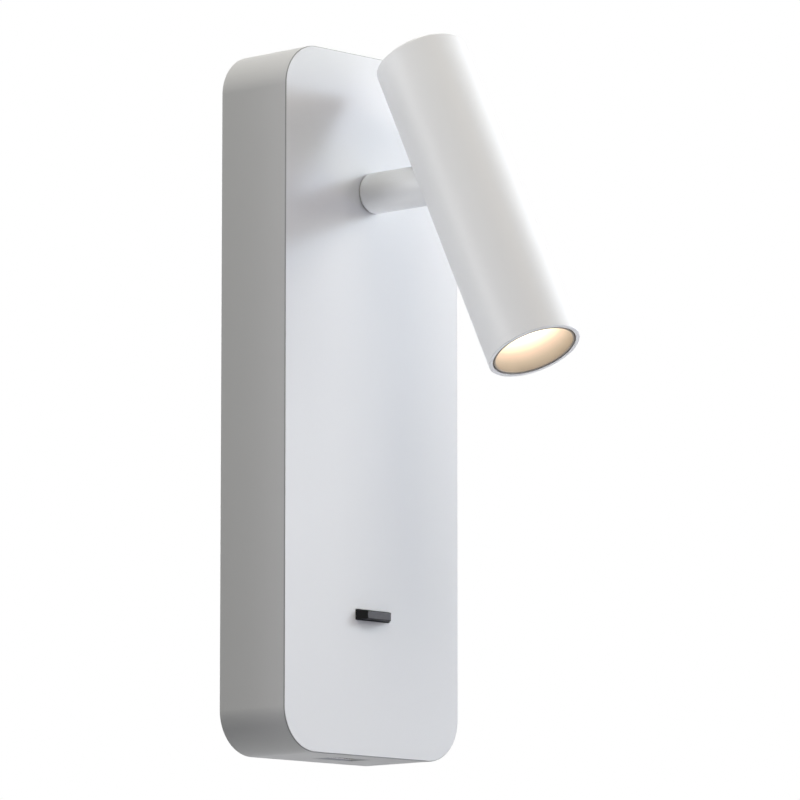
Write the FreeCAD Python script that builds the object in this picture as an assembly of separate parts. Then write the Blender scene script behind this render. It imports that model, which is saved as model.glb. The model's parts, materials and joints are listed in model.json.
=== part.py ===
import FreeCAD, Part
import math
import os

# Wall spotlight: a tall box on the wall, a short round arm that swivels in its front,
# and a slim tube head that tilts on the arm's end. A paddle switches the light, and a
# charging port looks down from the underside.
# Millimetres. The origin is the middle of the back face, in the plane of the wall.
# +Y points into the wall, +Z up, and +X to the right of someone who faces the light.

vector = FreeCAD.Vector
axis_x = vector(1, 0, 0)
axis_y = vector(0, 1, 0)
axis_z = vector(0, 0, 1)

# Clearances that all pieces share
slip = 0.05                 # radial play of a pin, screw or bush in its hole
seat_gap = 0.05             # play between flat faces that turn on each other
part_gap = 0.3              # gap between pieces that never touch
cut_overrun = 1.0           # how far a cutting tool passes the face that it cuts

# Housing of the base
plate_width = 75.0
plate_height = 212.0
base_depth = 27.0
corner_radius = 13.2
side_wall = 2.0
front_wall = 2.4
front_edge_radius = 0.35

front_y = -base_depth
inner_y = front_y + front_wall
cavity_half_width = plate_width / 2 - side_wall
cavity_half_height = plate_height / 2 - side_wall
boss_radius = 2.5
boss_hole_radius = 1.25
boss_floor = 0.6            # metal left under a blind boss hole

# Wall bracket
bracket_sheet = 1.5
bracket_side_room = 5.5     # from the bracket's edge to the housing's side wall
bracket_end_room = 10.0     # from the flat plate's end to the housing's end wall
bracket_corner = 4.0
flange_inset = 2.3          # from the flange's end to where the housing's corner starts
flange_reach = 11.0
bend_radius = 2.0
bend_inner_radius = 0.5
hook_inset = 1.3
hook_port_room = 5.7        # from the port's surround to the hook
hook_height = 4.3           # from the cavity's floor up to the hook's underside
hook_lip_gap = 0.5          # from the cavity's floor to the lip's end
rib_thickness = 2.0
rib_height = 3.0
wall_slot_spacing = 120.0
wall_slot_width = 4.5
wall_slot_length = 9.0

# Cover screws in the top wall
cover_screw_inset = 6.0     # from the flange's end
cover_screw_radius = 1.5
cover_screw_length = 8.0
cover_screw_socket = 0.75
cover_screw_sink = 0.4

# Cable entry
entry_place_share = -0.1887     # of the plate's height, from its middle
grommet_radius = 7.0
grommet_flange_radius = 9.0
grommet_flange_depth = 1.9
grommet_bore_radius = 5.0
grommet_round = 0.7

# Cable clamp beside the entry
clamp_rise = 13.0           # above the cable entry
clamp_width = 6.0
clamp_sheet = 1.2
clamp_half_span = 11.0
clamp_screw_x = 8.4
clamp_saddle_radius = 3.6
clamp_cable_height = 2.4

# Small screws: shank, head and cross recess
screw_shank_radius = 1.2
screw_head_radius = 2.3
screw_head_height = 1.6
screw_recess_width = 0.5
screw_recess_length = 2.6
screw_recess_depth = 0.7

# LED driver
driver_side_room = 5.5      # from the ears to the housing's side walls
driver_height = 38.0
driver_depth = 17.0
driver_place_share = 0.1274
driver_round = 1.6
driver_ear_length = 8.0
driver_ear_height = 10.0
driver_ear_sheet = 2.2
driver_boss_height = 4.0

# Terminal block
block_width = 30.0
block_height = 14.0
block_depth = 13.0
block_place_share = -0.0708
block_pitch = 9.0
block_entry_radius = 1.7
block_entry_depth = 5.0
block_entry_height = 8.6    # from the front wall to the wire ways
block_well_radius = 1.9
block_well_depth = 4.0
block_shoulder = 3.2
block_shoulder_drop = 4.0
block_foot_radius = 1.45
clamp_screw_radius = 1.7
clamp_screw_height = 3.0

# Earth point
earth_side_room = 10.5      # from the housing's side wall
earth_rise = 11.9           # above the switch
earth_boss_height = 5.0
tag_radius = 3.4
tag_sheet = 0.8
tag_barrel_radius = 1.4
tag_barrel_length = 6.0

# Switch: a paddle on two trunnions, and the body behind the panel
lever_place_share = -0.301
lever_base_half = 7.25
lever_tip_half = 4.95
lever_base_height = 2.8
lever_tip_height = 2.45
lever_reach = 2.95
lever_round = 0.25
lever_tilt = 1.8            # degrees down at rest, as photographed
lever_swing = 6.0           # degrees from level to each stop
trunnion_radius = 0.75
trunnion_depth = 1.3        # from the panel's front face to the trunnions' axis
trunnion_length = 1.6
lever_gap = 0.12
tail_half_width = 3.0
tail_half_height = 0.8
tail_length = 7.0
switch_width = 20.0
switch_height = 11.0
switch_depth = 12.0
switch_round = 0.8
switch_cavity_depth = 8.6
switch_cavity_half_height = 2.6
switch_boss_height = 3.0
switch_ear_sheet = 2.0
switch_ear_height = 6.0
switch_screw_x = 13.6
spade_x = 4.0
spade_sheet = 0.8
spade_width = 4.8
spade_length = 6.0

# Charging port in the underside
port_x = 0.0
port_setback = 12.5         # from the front face to the port's middle
port_width = 12.5
port_height = 5.12
shell_wall = 0.3
shell_length = 13.6
shell_recess = 0.4
tongue_width = 11.0
tongue_thickness = 1.84
tongue_length = 8.9
tongue_offset = 0.95
contact_width = 1.0
contact_thickness = 0.2
contact_length = 6.5
contact_places_share = (-0.318, -0.091, 0.091, 0.318)   # of the tongue's width
surround_width = 16.2
surround_height = 9.0
surround_corner = 1.0
surround_flange = 1.2
surround_flange_thickness = 1.2
surround_lead_in = 0.35

# Charging supply board
board_width = 26.0
board_length = 25.0
board_rise = 3.0            # above the housing's floor
board_thickness = 1.6
board_screw_x = 9.8
board_screw_drop = 3.4
transformer_width = 11.0
transformer_height = 9.0
transformer_depth = 8.5
transformer_top_gap = 4.0
capacitor_radius = 2.5
capacitor_length = 11.0
capacitor_rise = 5.0

# Arm and its swivel in the front wall
arm_place_share = 0.3025
arm_radius = 6.2
arm_reach = 38.75           # from the panel's front face to the tilt axis
arm_shoulder_gap = 0.3
arm_bore_radius = 3.0
spigot_radius = 4.9
spigot_end = 2.55           # thread that shows past the lock nut
arm_shoulder_round = 0.25
bush_wall = 0.9
bush_flange_radius = 8.6
bush_flange_thickness = 1.4
stop_washer_thickness = 1.0
stop_washer_radius = 8.0
stop_tab_reach = 11.2
stop_tab_width = 2.3
stop_post_radius = 1.3
stop_post_distance = 9.9
wave_washer_thickness = 0.9
wave_washer_radius = 7.6
lock_nut_flat = 14.0
lock_nut_height = 3.0
spigot_flat = 4.3           # from the axis to the flats that key the stop washer

# Tilt knuckle on the arm's end
fork_root = 7.5             # from the tilt axis to the full round arm
fork_tip = 6.0
fork_slot = 6.0
fork_outer_half = 5.0
lug_half = 2.4
lug_radius = 5.0
friction_washer_thickness = 0.5
friction_washer_radius = 4.6
pivot_bolt_radius = 2.0
bolt_head_radius = 3.4
bolt_head_height = 2.2
bolt_socket_flat = 2.5
bolt_socket_depth = 1.3
pivot_nut_flat = 7.0
pivot_nut_height = 3.0
bolt_end = 0.8              # thread that shows past the nut

# Head tube: lengths run along the tube from the tilt axis
head_radius = 14.1
head_wall = 1.25
head_top = 43.0
head_mouth = 60.9
head_tilt = 26.1            # degrees from upright, mouth outward, as photographed
head_tilt_most = 36.0       # degrees from upright at the outer stop
head_top_round = 0.8
head_mouth_round = 0.2
slot_gap = 0.3
slot_round_share = 0.9      # of the slot's half width

cap_thickness = 2.0
cap_skirt = 6.0
cap_wall = 1.2

carrier_top = 9.0
carrier_thickness = 5.0
carrier_wire_radius = 2.0
carrier_screw_radius = 1.5
carrier_screw_length = 5.0

lead_orbit = 6.4            # the leads' way round the lug, from the tilt axis
sink_gap = 0.1
sink_length = 24.0
sink_core_radius = 4.4
sink_radius = 12.4
sink_top_plate = 3.0
sink_base_plate = 4.0
sink_fins = 6
sink_fin_thickness = 1.2
sink_screw_x = 8.2

led_board_radius = 11.6
led_board_thickness = 1.2
led_board_screw_x = 9.6
led_board_screw_radius = 0.9
led_board_head_radius = 1.5
led_board_head_height = 0.9
led_side = 7.0
led_base_height = 0.4
led_dome_radius = 2.8
led_dome_height = 0.5

optic_start = 1.4           # from the board's face to the lens's foot
optic_foot_radius = 4.2
optic_well_radius = 3.2
optic_well_depth = 1.8
optic_cone_length = 5.6
optic_cone_radius = 9.2
optic_flange_radius = 10.2
optic_flange_thickness = 1.2
holder_radius = 12.5
holder_throat_radius = 6.2

baffle_recess = 0.2
baffle_mouth_radius = 12.0
baffle_throat_radius = 9.0
baffle_rim_radius = 12.5
baffle_wall = 0.8
baffle_rim_length = 1.6
baffle_seat_length = 1.6

# Leads
lead_radius = 0.9
fine_lead_radius = 0.55
lead_bend = 3.0
fine_lead_x = 0.7
arm_lead_x = 1.2
lead_drop = 15.0            # straight run below the terminal block's middle
tag_lead_share = 0.6        # of a switch tag's length, from the switch
driver_lead_share = 0.85    # of the driver's depth, from the front wall

# Places that follow from the sizes above
arm_z = arm_place_share * plate_height
driver_centre_z = driver_place_share * plate_height
block_centre_z = block_place_share * plate_height
cable_entry_z = entry_place_share * plate_height
lever_z = lever_place_share * plate_height
clamp_z = cable_entry_z + clamp_rise
earth_x = earth_side_room - cavity_half_width
earth_z = lever_z + earth_rise
cavity_floor_z = -cavity_half_height
board_bottom_z = cavity_floor_z + board_rise
board_top_z = board_bottom_z + board_length
port_y = front_y + port_setback
bracket_width = 2 * (cavity_half_width - bracket_side_room)
bracket_height = 2 * (cavity_half_height - bracket_end_room)
flange_half_width = plate_width / 2 - corner_radius - flange_inset
hook_far_x = plate_width / 2 - corner_radius - hook_inset
hook_near_x = surround_width / 2 + surround_flange + hook_port_room
cover_screw_x = flange_half_width - cover_screw_inset
cover_screw_y = -(bracket_sheet + flange_reach) / 2
driver_width = 2 * (cavity_half_width - driver_side_room - driver_ear_length)
pivot_y = front_y - arm_reach
bush_radius = spigot_radius + slip + bush_wall
arm_hole_radius = bush_radius + slip
shoulder_y = front_y - arm_shoulder_gap
stop_washer_y = inner_y + bush_flange_thickness + seat_gap
wave_washer_y = stop_washer_y + stop_washer_thickness + seat_gap
lock_nut_y = wave_washer_y + wave_washer_thickness + seat_gap
head_bore = head_radius - head_wall
board_front_y = port_y + port_height / 2 + shell_wall + seat_gap
sink_start = carrier_top + carrier_thickness + sink_gap
sink_end = sink_start + sink_length
led_face = sink_end + led_board_thickness
optic_foot = led_face + optic_start
optic_ledge = optic_foot + optic_cone_length
optic_front = optic_ledge + optic_flange_thickness
lever_axis_y = front_y + trunnion_depth
spigot_end_y = lock_nut_y + lock_nut_height + spigot_end
lead_entry_y = inner_y + block_entry_height
lead_rear_y = inner_y + switch_depth + tag_lead_share * spade_length
lead_turn_z = block_centre_z - lead_drop
arm_lead_y = inner_y + driver_lead_share * driver_depth


# A box between two corners.
def block(x_from, x_to, y_from, y_to, z_from, z_to):
    corner = vector(x_from, y_from, z_from)
    return Part.makeBox(x_to - x_from, y_to - y_from, z_to - z_from, corner)


# A round bar from one point to another.
def rod(radius, start, end):
    way = end.sub(start)
    return Part.makeCylinder(radius, way.Length, start, way)


# A round bar with a hole right through it.
def tube(radius, hole_radius, start, end):
    way = vector(end.x - start.x, end.y - start.y, end.z - start.z).normalize()
    extra = way.multiply(cut_overrun)
    return rod(radius, start, end).cut(rod(hole_radius, start.sub(extra), end.add(extra)))


# A hexagonal bar, measured flat to flat, from one point along an axis.
def hexagon(flat, start, way, length):
    corners = []
    side = axis_x if abs(way.z) > abs(way.x) else axis_z
    across = way.cross(side)
    reach = flat / 2 / math.cos(math.radians(30))
    for turn in range(7):
        angle = math.radians(60 * turn)
        out = vector(side).multiply(reach * math.cos(angle))
        out = out.add(vector(across).multiply(reach * math.sin(angle)))
        corners.append(start.add(out))
    face = Part.Face(Part.makePolygon(corners))
    return face.extrude(vector(way).multiply(length))


# The straight edges of a shape that run along an axis.
def edges_along(shape, way):
    found = []
    for edge in shape.Edges:
        if isinstance(edge.Curve, Part.Line) and edge.Curve.Direction.cross(way).Length < 1e-6:
            found.append(edge)
    return found


# The edges along an axis whose middle lies on the given two coordinates.
def edges_at(shape, way, **place):
    near = slip / 10
    found = []
    for edge in edges_along(shape, way):
        middle = edge.CenterOfMass
        if all(abs(getattr(middle, name) - value) < near for name, value in place.items()):
            found.append(edge)
    return found


# A slab in the wall's plane with rounded corners.
def rounded_slab(width, height, radius, y_from, y_to, centre_x=0, centre_z=0):
    slab = block(centre_x - width / 2, centre_x + width / 2, y_from, y_to,
                 centre_z - height / 2, centre_z + height / 2)
    return slab.makeFillet(radius, edges_along(slab, axis_y))


# A slot along Z with round ends, cut through along Y.
def upright_slot(width, length, x, z, y_from, y_to):
    half_run = (length - width) / 2
    low = rod(width / 2, vector(x, y_from, z - half_run), vector(x, y_to, z - half_run))
    high = rod(width / 2, vector(x, y_from, z + half_run), vector(x, y_to, z + half_run))
    middle = block(x - width / 2, x + width / 2, y_from, y_to, z - half_run, z + half_run)
    return low.fuse(high).fuse(middle).removeSplitter()


# A turned piece from its outline, given as radius and height along Z.
def turned(outline):
    points = [vector(radius, 0, height) for radius, height in outline]
    points.append(points[0])
    return Part.Face(Part.makePolygon(points)).revolve(vector(0, 0, 0), axis_z, 360)


# A shape made along +Z from the origin, moved to a point and turned to an axis.
def aimed(shape, point, way):
    placed = shape.copy()
    placed.Placement = FreeCAD.Placement(point, FreeCAD.Rotation(axis_z, way))
    return placed


# A pan-head screw, its head seated at the origin and its shank down -Z.
def pan_screw(length, shank=screw_shank_radius, head=screw_head_radius, height=screw_head_height):
    shank_solid = rod(shank, vector(0, 0, -length), vector(0, 0, 0))
    head_solid = rod(head, vector(0, 0, 0), vector(0, 0, height))
    rim = [edge for edge in head_solid.Edges if abs(edge.CenterOfMass.z - height) < slip / 10]
    head_solid = head_solid.makeFillet(height / 2, rim[:1])
    size = head / screw_head_radius
    half_length = size * screw_recess_length / 2
    half_width = size * screw_recess_width / 2
    floor = height - size * screw_recess_depth
    first = block(-half_length, half_length, -half_width, half_width, floor, height + cut_overrun)
    second = block(-half_width, half_width, -half_length, half_length, floor, height + cut_overrun)
    return shank_solid.fuse(head_solid).cut(first).cut(second)


# A round lead along a route of straight runs joined by tangent arcs.
def lead(radius, route, bend):
    edges = []
    start = route[0]
    for before, corner, after in zip(route, route[1:], route[2:]):
        way_in = corner.sub(before).normalize()
        way_out = after.sub(corner).normalize()
        turn = way_in.getAngle(way_out)
        reach = bend * math.tan(turn / 2)
        arc_start = corner.sub(vector(way_in).multiply(reach))
        arc_end = corner.add(vector(way_out).multiply(reach))
        inward = vector(way_out).sub(way_in).normalize()
        centre = corner.add(vector(inward).multiply(bend / math.cos(turn / 2)))
        arc_middle = centre.sub(vector(inward).multiply(bend))
        edges.append(Part.LineSegment(start, arc_start).toShape())
        edges.append(Part.Arc(arc_start, arc_middle, arc_end).toShape())
        start = arc_end
    edges.append(Part.LineSegment(start, route[-1]).toShape())
    first_way = route[1].sub(route[0])
    ring = Part.Wire(Part.makeCircle(radius, route[0], first_way))
    return Part.Wire(edges).makePipeShell([ring], True, False)


# Several separate solids in one node.
def group(solids):
    return Part.makeCompound(solids)


# A post on the inside of the front wall with a blind hole for a screw.
def front_boss(x, z, height):
    top_y = inner_y + height
    post = rod(boss_radius, vector(x, inner_y - front_wall / 2, z), vector(x, top_y, z))
    hole_floor = inner_y - front_wall + boss_floor
    hole = rod(boss_hole_radius, vector(x, hole_floor, z), vector(x, top_y + cut_overrun, z))
    return post, hole


# Places of the front wall's screw posts: x, z and height.
def boss_places():
    driver_x = driver_width / 2 + driver_ear_length / 2
    board_z = board_top_z - board_screw_drop
    return {
        "driver": [(side * driver_x, driver_centre_z, driver_boss_height) for side in (-1, 1)],
        "switch": [(side * switch_screw_x, lever_z, switch_boss_height) for side in (-1, 1)],
        "board": [(side * board_screw_x, board_z, board_front_y - inner_y) for side in (-1, 1)],
        "earth": [(earth_x, earth_z, earth_boss_height)],
    }


# The slot and the two trunnion pockets of the switch paddle, as one cutting tool.
def lever_cutout():
    swing = math.radians(lever_swing)
    reach = max(trunnion_depth, front_wall - trunnion_depth)
    half_height = lever_base_height / 2 / math.cos(swing) + reach * math.sin(swing) + lever_gap
    half_width = lever_base_half + lever_gap
    slot = block(-half_width, half_width, front_y - cut_overrun, inner_y + cut_overrun,
                 lever_z - half_height, lever_z + half_height)
    pocket_half = half_width + trunnion_length + lever_gap
    pocket_radius = trunnion_radius + slip
    pocket = rod(pocket_radius, vector(-pocket_half, lever_axis_y, lever_z),
                 vector(pocket_half, lever_axis_y, lever_z))
    way_in = block(-pocket_half, pocket_half, lever_axis_y, inner_y + cut_overrun,
                   lever_z - pocket_radius, lever_z + pocket_radius)
    return slot.fuse(pocket).fuse(way_in)


# A slab in the plane of the underside with rounded corners.
def port_slab(width, height, radius, z_from, z_to):
    slab = block(port_x - width / 2, port_x + width / 2, port_y - height / 2, port_y + height / 2,
                 z_from, z_to)
    return slab.makeFillet(radius, edges_along(slab, axis_z))


def base_housing():
    outer = rounded_slab(plate_width, plate_height, corner_radius, front_y, 0)
    near = slip / 10
    front_edges = [edge for edge in outer.Edges
                   if abs(edge.BoundBox.YMax - front_y) < near and abs(edge.BoundBox.YMin - front_y) < near]
    outer = outer.makeFillet(front_edge_radius, front_edges)
    cavity = rounded_slab(2 * cavity_half_width, 2 * cavity_half_height, corner_radius - side_wall,
                          inner_y, cut_overrun)
    housing = outer.cut(cavity)
    posts = []
    holes = []
    for places in boss_places().values():
        for x, z, height in places:
            post, hole = front_boss(x, z, height)
            posts.append(post)
            holes.append(hole)
    stop_post = rod(stop_post_radius, vector(0, inner_y - front_wall / 2, arm_z - stop_post_distance),
                    vector(0, wave_washer_y - seat_gap, arm_z - stop_post_distance))
    posts.append(stop_post)
    rib_y = -flange_reach + bracket_sheet + seat_gap
    for side in (-1, 1):
        x_ends = sorted((side * (hook_near_x - part_gap), side * (hook_far_x + part_gap)))
        posts.append(block(x_ends[0], x_ends[1], rib_y, rib_y + rib_thickness,
                           cavity_floor_z - side_wall / 2, cavity_floor_z + rib_height))
    housing = housing.multiFuse(posts).removeSplitter()
    holes.append(rod(arm_hole_radius, vector(0, front_y - cut_overrun, arm_z),
                     vector(0, inner_y + cut_overrun, arm_z)))
    holes.append(lever_cutout())
    holes.append(port_slab(surround_width + 2 * lever_gap, surround_height + 2 * lever_gap,
                           surround_corner + lever_gap, -plate_height / 2 - cut_overrun,
                           cavity_floor_z + cut_overrun))
    for side in (-1, 1):
        foot = vector(side * cover_screw_x, cover_screw_y, cavity_half_height - cut_overrun)
        top = vector(side * cover_screw_x, cover_screw_y, plate_height / 2 + cut_overrun)
        holes.append(rod(cover_screw_radius + slip, foot, top))
    for hole in holes:
        housing = housing.cut(hole)
    return housing


# The wall bracket: a plate with a flange folded forward at its top and two hooks below.
def wall_bracket():
    plate = rounded_slab(bracket_width, bracket_height, bracket_corner, -bracket_sheet, 0)
    flange_top = cavity_half_height - part_gap
    root = bracket_height / 2 - bracket_corner
    top = block(-flange_half_width, flange_half_width, -bracket_sheet, 0, root, flange_top)
    flange = block(-flange_half_width, flange_half_width, -flange_reach, 0,
                   flange_top - bracket_sheet, flange_top)
    folded_top = top.fuse(flange).removeSplitter()
    folded_top = folded_top.makeFillet(bend_radius, edges_at(folded_top, axis_x, y=0, z=flange_top))
    folded_top = folded_top.makeFillet(bend_inner_radius, edges_at(
        folded_top, axis_x, y=-bracket_sheet, z=flange_top - bracket_sheet))
    bracket = plate.fuse(folded_top)
    hook_under = cavity_floor_z + hook_height
    for side in (-1, 1):
        x_ends = sorted((side * hook_near_x, side * hook_far_x))
        leg = block(x_ends[0], x_ends[1], -bracket_sheet, 0, hook_under, -root)
        shelf = block(x_ends[0], x_ends[1], -flange_reach, 0, hook_under, hook_under + bracket_sheet)
        lip = block(x_ends[0], x_ends[1], -flange_reach, -flange_reach + bracket_sheet,
                    cavity_floor_z + hook_lip_gap, hook_under + bracket_sheet)
        hook = leg.fuse(shelf).fuse(lip).removeSplitter()
        hook = hook.makeFillet(bend_radius, edges_at(
            hook, axis_x, y=-flange_reach, z=hook_under + bracket_sheet))
        hook = hook.makeFillet(bend_radius, edges_at(hook, axis_x, y=0, z=hook_under))
        bracket = bracket.fuse(hook)
    bracket = bracket.removeSplitter()
    for side in (-1, 1):
        bracket = bracket.cut(upright_slot(wall_slot_width, wall_slot_length, 0,
                                           side * wall_slot_spacing / 2,
                                           -bracket_sheet - cut_overrun, cut_overrun))
        bracket = bracket.cut(rod(cover_screw_radius + slip,
                                  vector(side * cover_screw_x, cover_screw_y,
                                         flange_top - bracket_sheet - cut_overrun),
                                  vector(side * cover_screw_x, cover_screw_y,
                                         flange_top + cut_overrun)))
        bracket = bracket.cut(rod(screw_shank_radius + slip,
                                  vector(side * clamp_screw_x, -bracket_sheet - cut_overrun, clamp_z),
                                  vector(side * clamp_screw_x, cut_overrun, clamp_z)))
    return bracket.cut(rod(grommet_radius, vector(0, -bracket_sheet - cut_overrun, cable_entry_z),
                           vector(0, cut_overrun, cable_entry_z)))


# The two socket screws that hold the housing to the bracket's top flange.
def cover_screws():
    screws = []
    top = plate_height / 2 - cover_screw_sink
    for side in (-1, 1):
        x = side * cover_screw_x
        screw = rod(cover_screw_radius, vector(x, cover_screw_y, top - cover_screw_length),
                    vector(x, cover_screw_y, top))
        socket = hexagon(2 * cover_screw_socket, vector(x, cover_screw_y, top - cover_screw_length / 4),
                         axis_z, cover_screw_length)
        screws.append(screw.cut(socket))
    return group(screws)


# The rubber ring that guards the cable where it comes through the bracket.
def cable_grommet():
    face_y = -bracket_sheet - seat_gap
    barrel = rod(grommet_radius - slip, vector(0, 0, cable_entry_z), vector(0, face_y, cable_entry_z))
    flange = rod(grommet_flange_radius, vector(0, face_y, cable_entry_z),
                 vector(0, face_y - grommet_flange_depth, cable_entry_z))
    rim = [edge for edge in flange.Edges
           if abs(edge.BoundBox.YMax - (face_y - grommet_flange_depth)) < slip / 10]
    flange = flange.makeFillet(grommet_round, rim)
    ring = barrel.fuse(flange).removeSplitter()
    bore = rod(grommet_bore_radius, vector(0, cut_overrun, cable_entry_z),
               vector(0, face_y - grommet_flange_depth - cut_overrun, cable_entry_z))
    return ring.cut(bore)


# The strap that holds the supply cable down on the bracket.
def cable_clamp():
    low_z = clamp_z - clamp_width / 2
    high_z = clamp_z + clamp_width / 2
    foot_y = -bracket_sheet
    outer_radius = clamp_saddle_radius + clamp_sheet
    feet = block(-clamp_half_span, clamp_half_span, foot_y - clamp_sheet, foot_y, low_z, high_z)
    centre_y = foot_y - clamp_cable_height
    arch = rod(outer_radius, vector(0, centre_y, low_z), vector(0, centre_y, high_z))
    arch = arch.fuse(block(-outer_radius, outer_radius, centre_y, foot_y, low_z, high_z))
    way = rod(clamp_saddle_radius, vector(0, centre_y, low_z - cut_overrun),
              vector(0, centre_y, high_z + cut_overrun))
    way = way.fuse(block(-clamp_saddle_radius, clamp_saddle_radius, centre_y, foot_y + cut_overrun,
                         low_z - cut_overrun, high_z + cut_overrun))
    behind = block(-clamp_half_span, clamp_half_span, foot_y, foot_y + outer_radius,
                   low_z - cut_overrun, high_z + cut_overrun)
    strap = feet.fuse(arch).cut(way).cut(behind).removeSplitter()
    for side in (-1, 1):
        strap = strap.cut(rod(screw_shank_radius + slip,
                              vector(side * clamp_screw_x, foot_y + cut_overrun, clamp_z),
                              vector(side * clamp_screw_x, foot_y - clamp_sheet - cut_overrun, clamp_z)))
    return strap


def cable_clamp_screws():
    face_y = -bracket_sheet - clamp_sheet
    length = clamp_sheet + bracket_sheet
    return group([aimed(pan_screw(length), vector(side * clamp_screw_x, face_y, clamp_z),
                        vector(0, -1, 0)) for side in (-1, 1)])


# Pan-head screws driven from behind into the front wall's posts.
def post_screws(name, sheet):
    screws = []
    for x, z, height in boss_places()[name]:
        seat_y = inner_y + height + sheet
        length = sheet + min(height, base_depth / 4)
        screws.append(aimed(pan_screw(length), vector(x, seat_y, z), axis_y))
    return group(screws)


# The sealed LED driver: a box with two fixing ears.
def led_driver():
    box_low = driver_centre_z - driver_height / 2
    box_high = driver_centre_z + driver_height / 2
    case = block(-driver_width / 2, driver_width / 2, inner_y, inner_y + driver_depth, box_low, box_high)
    case = case.makeFillet(driver_round, edges_along(case, axis_y))
    ear_y = inner_y + driver_boss_height
    half_span = driver_width / 2 + driver_ear_length
    ears = block(-half_span, half_span, ear_y, ear_y + driver_ear_sheet,
                 driver_centre_z - driver_ear_height / 2, driver_centre_z + driver_ear_height / 2)
    ears = ears.makeFillet(driver_round, edges_along(ears, axis_y))
    driver = case.fuse(ears).removeSplitter()
    for x, z, height in boss_places()["driver"]:
        driver = driver.cut(rod(screw_shank_radius + slip, vector(x, inner_y, z),
                                vector(x, ear_y + driver_ear_sheet + cut_overrun, z)))
    return driver


# The stepped three-way terminal block, with wire ways from above and below.
def terminal_block():
    rear_y = inner_y + block_depth
    low_z = block_centre_z - block_height / 2
    high_z = block_centre_z + block_height / 2
    shoulder_y = rear_y - block_shoulder_drop
    outline = [
        (inner_y, low_z),
        (shoulder_y, low_z),
        (rear_y, low_z + block_shoulder),
        (rear_y, high_z - block_shoulder),
        (shoulder_y, high_z),
        (inner_y, high_z),
    ]
    points = [vector(-block_width / 2, y, z) for y, z in outline]
    points.append(points[0])
    body = Part.Face(Part.makePolygon(points)).extrude(vector(block_width, 0, 0))
    for pole in (-1, 0, 1):
        x = pole * block_pitch
        for end_z, way in ((low_z, 1), (high_z, -1)):
            body = body.cut(rod(block_entry_radius, vector(x, lead_entry_y, end_z - way * cut_overrun),
                                vector(x, lead_entry_y, end_z + way * block_entry_depth)))
        body = body.cut(rod(block_well_radius, vector(x, rear_y - block_well_depth, block_centre_z),
                            vector(x, rear_y + cut_overrun, block_centre_z)))
    for side in (-1, 1):
        x = side * block_pitch / 2
        body = body.cut(rod(block_foot_radius, vector(x, inner_y - cut_overrun, block_centre_z),
                            vector(x, rear_y + cut_overrun, block_centre_z)))
    return body


def terminal_screws():
    screws = []
    top_y = inner_y + block_depth - block_well_depth + clamp_screw_height
    for pole in (-1, 0, 1):
        x = pole * block_pitch
        screw = rod(clamp_screw_radius, vector(x, top_y - clamp_screw_height, block_centre_z),
                    vector(x, top_y, block_centre_z))
        slit = block(x - clamp_screw_radius, x + clamp_screw_radius,
                     top_y - screw_recess_depth, top_y + cut_overrun,
                     block_centre_z - screw_recess_width / 2, block_centre_z + screw_recess_width / 2)
        screws.append(screw.cut(slit))
    return group(screws)


# The terminal block's two fixing screws, threaded into the front wall from behind.
def block_screws():
    screws = []
    rear_y = inner_y + block_depth
    for side in (-1, 1):
        screw = pan_screw(block_depth, head=block_well_radius)
        screws.append(aimed(screw, vector(side * block_pitch / 2, rear_y, block_centre_z), axis_y))
    return group(screws)


# The ring tag that ends the earth lead, with its crimped barrel pointing up.
def earth_tag():
    face_y = inner_y + earth_boss_height
    ring = rod(tag_radius, vector(earth_x, face_y, earth_z), vector(earth_x, face_y + tag_sheet, earth_z))
    neck_z = earth_z + tag_radius + tag_barrel_length
    neck = block(earth_x - tag_barrel_radius, earth_x + tag_barrel_radius, face_y, face_y + tag_sheet,
                 earth_z, neck_z)
    barrel_y = face_y + tag_barrel_radius
    barrel = rod(tag_barrel_radius, vector(earth_x, barrel_y, neck_z - tag_barrel_length),
                 vector(earth_x, barrel_y, neck_z))
    tag = ring.fuse(neck).fuse(barrel).removeSplitter()
    return tag.cut(rod(screw_shank_radius + slip, vector(earth_x, face_y - cut_overrun, earth_z),
                       vector(earth_x, face_y + tag_sheet + cut_overrun, earth_z)))


# The outline of a block that tapers along Y, upright at one depth.
def upright_frame(half_width, half_height, y):
    return Part.makePolygon([
        vector(-half_width, y, -half_height),
        vector(half_width, y, -half_height),
        vector(half_width, y, half_height),
        vector(-half_width, y, half_height),
        vector(-half_width, y, -half_height),
    ])


# The switch paddle, level, about its trunnions at the origin, then tilted to rest.
def switch_lever():
    root_y = -trunnion_depth
    tip_y = root_y - lever_reach
    root = upright_frame(lever_base_half, lever_base_height / 2, root_y)
    tip = upright_frame(lever_tip_half, lever_tip_height / 2, tip_y)
    paddle = Part.makeLoft([root, tip], True, True)
    tip_edges = [edge for edge in paddle.Edges if edge.BoundBox.YMin < tip_y + slip / 10]
    paddle = paddle.makeFillet(lever_round, tip_edges)
    back = block(-lever_base_half, lever_base_half, root_y, trunnion_depth,
                 -lever_base_height / 2, lever_base_height / 2)
    paddle = paddle.fuse(back)
    tail = block(-tail_half_width, tail_half_width, 0, tail_length, -tail_half_height, tail_half_height)
    pin_half = lever_base_half + lever_gap + trunnion_length
    pins = rod(trunnion_radius, vector(-pin_half, 0, 0), vector(pin_half, 0, 0))
    lever = paddle.fuse(tail).fuse(pins).removeSplitter()
    lever.Placement = FreeCAD.Placement(vector(0, lever_axis_y, lever_z),
                                        FreeCAD.Rotation(axis_x, lever_tilt))
    return lever


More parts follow.
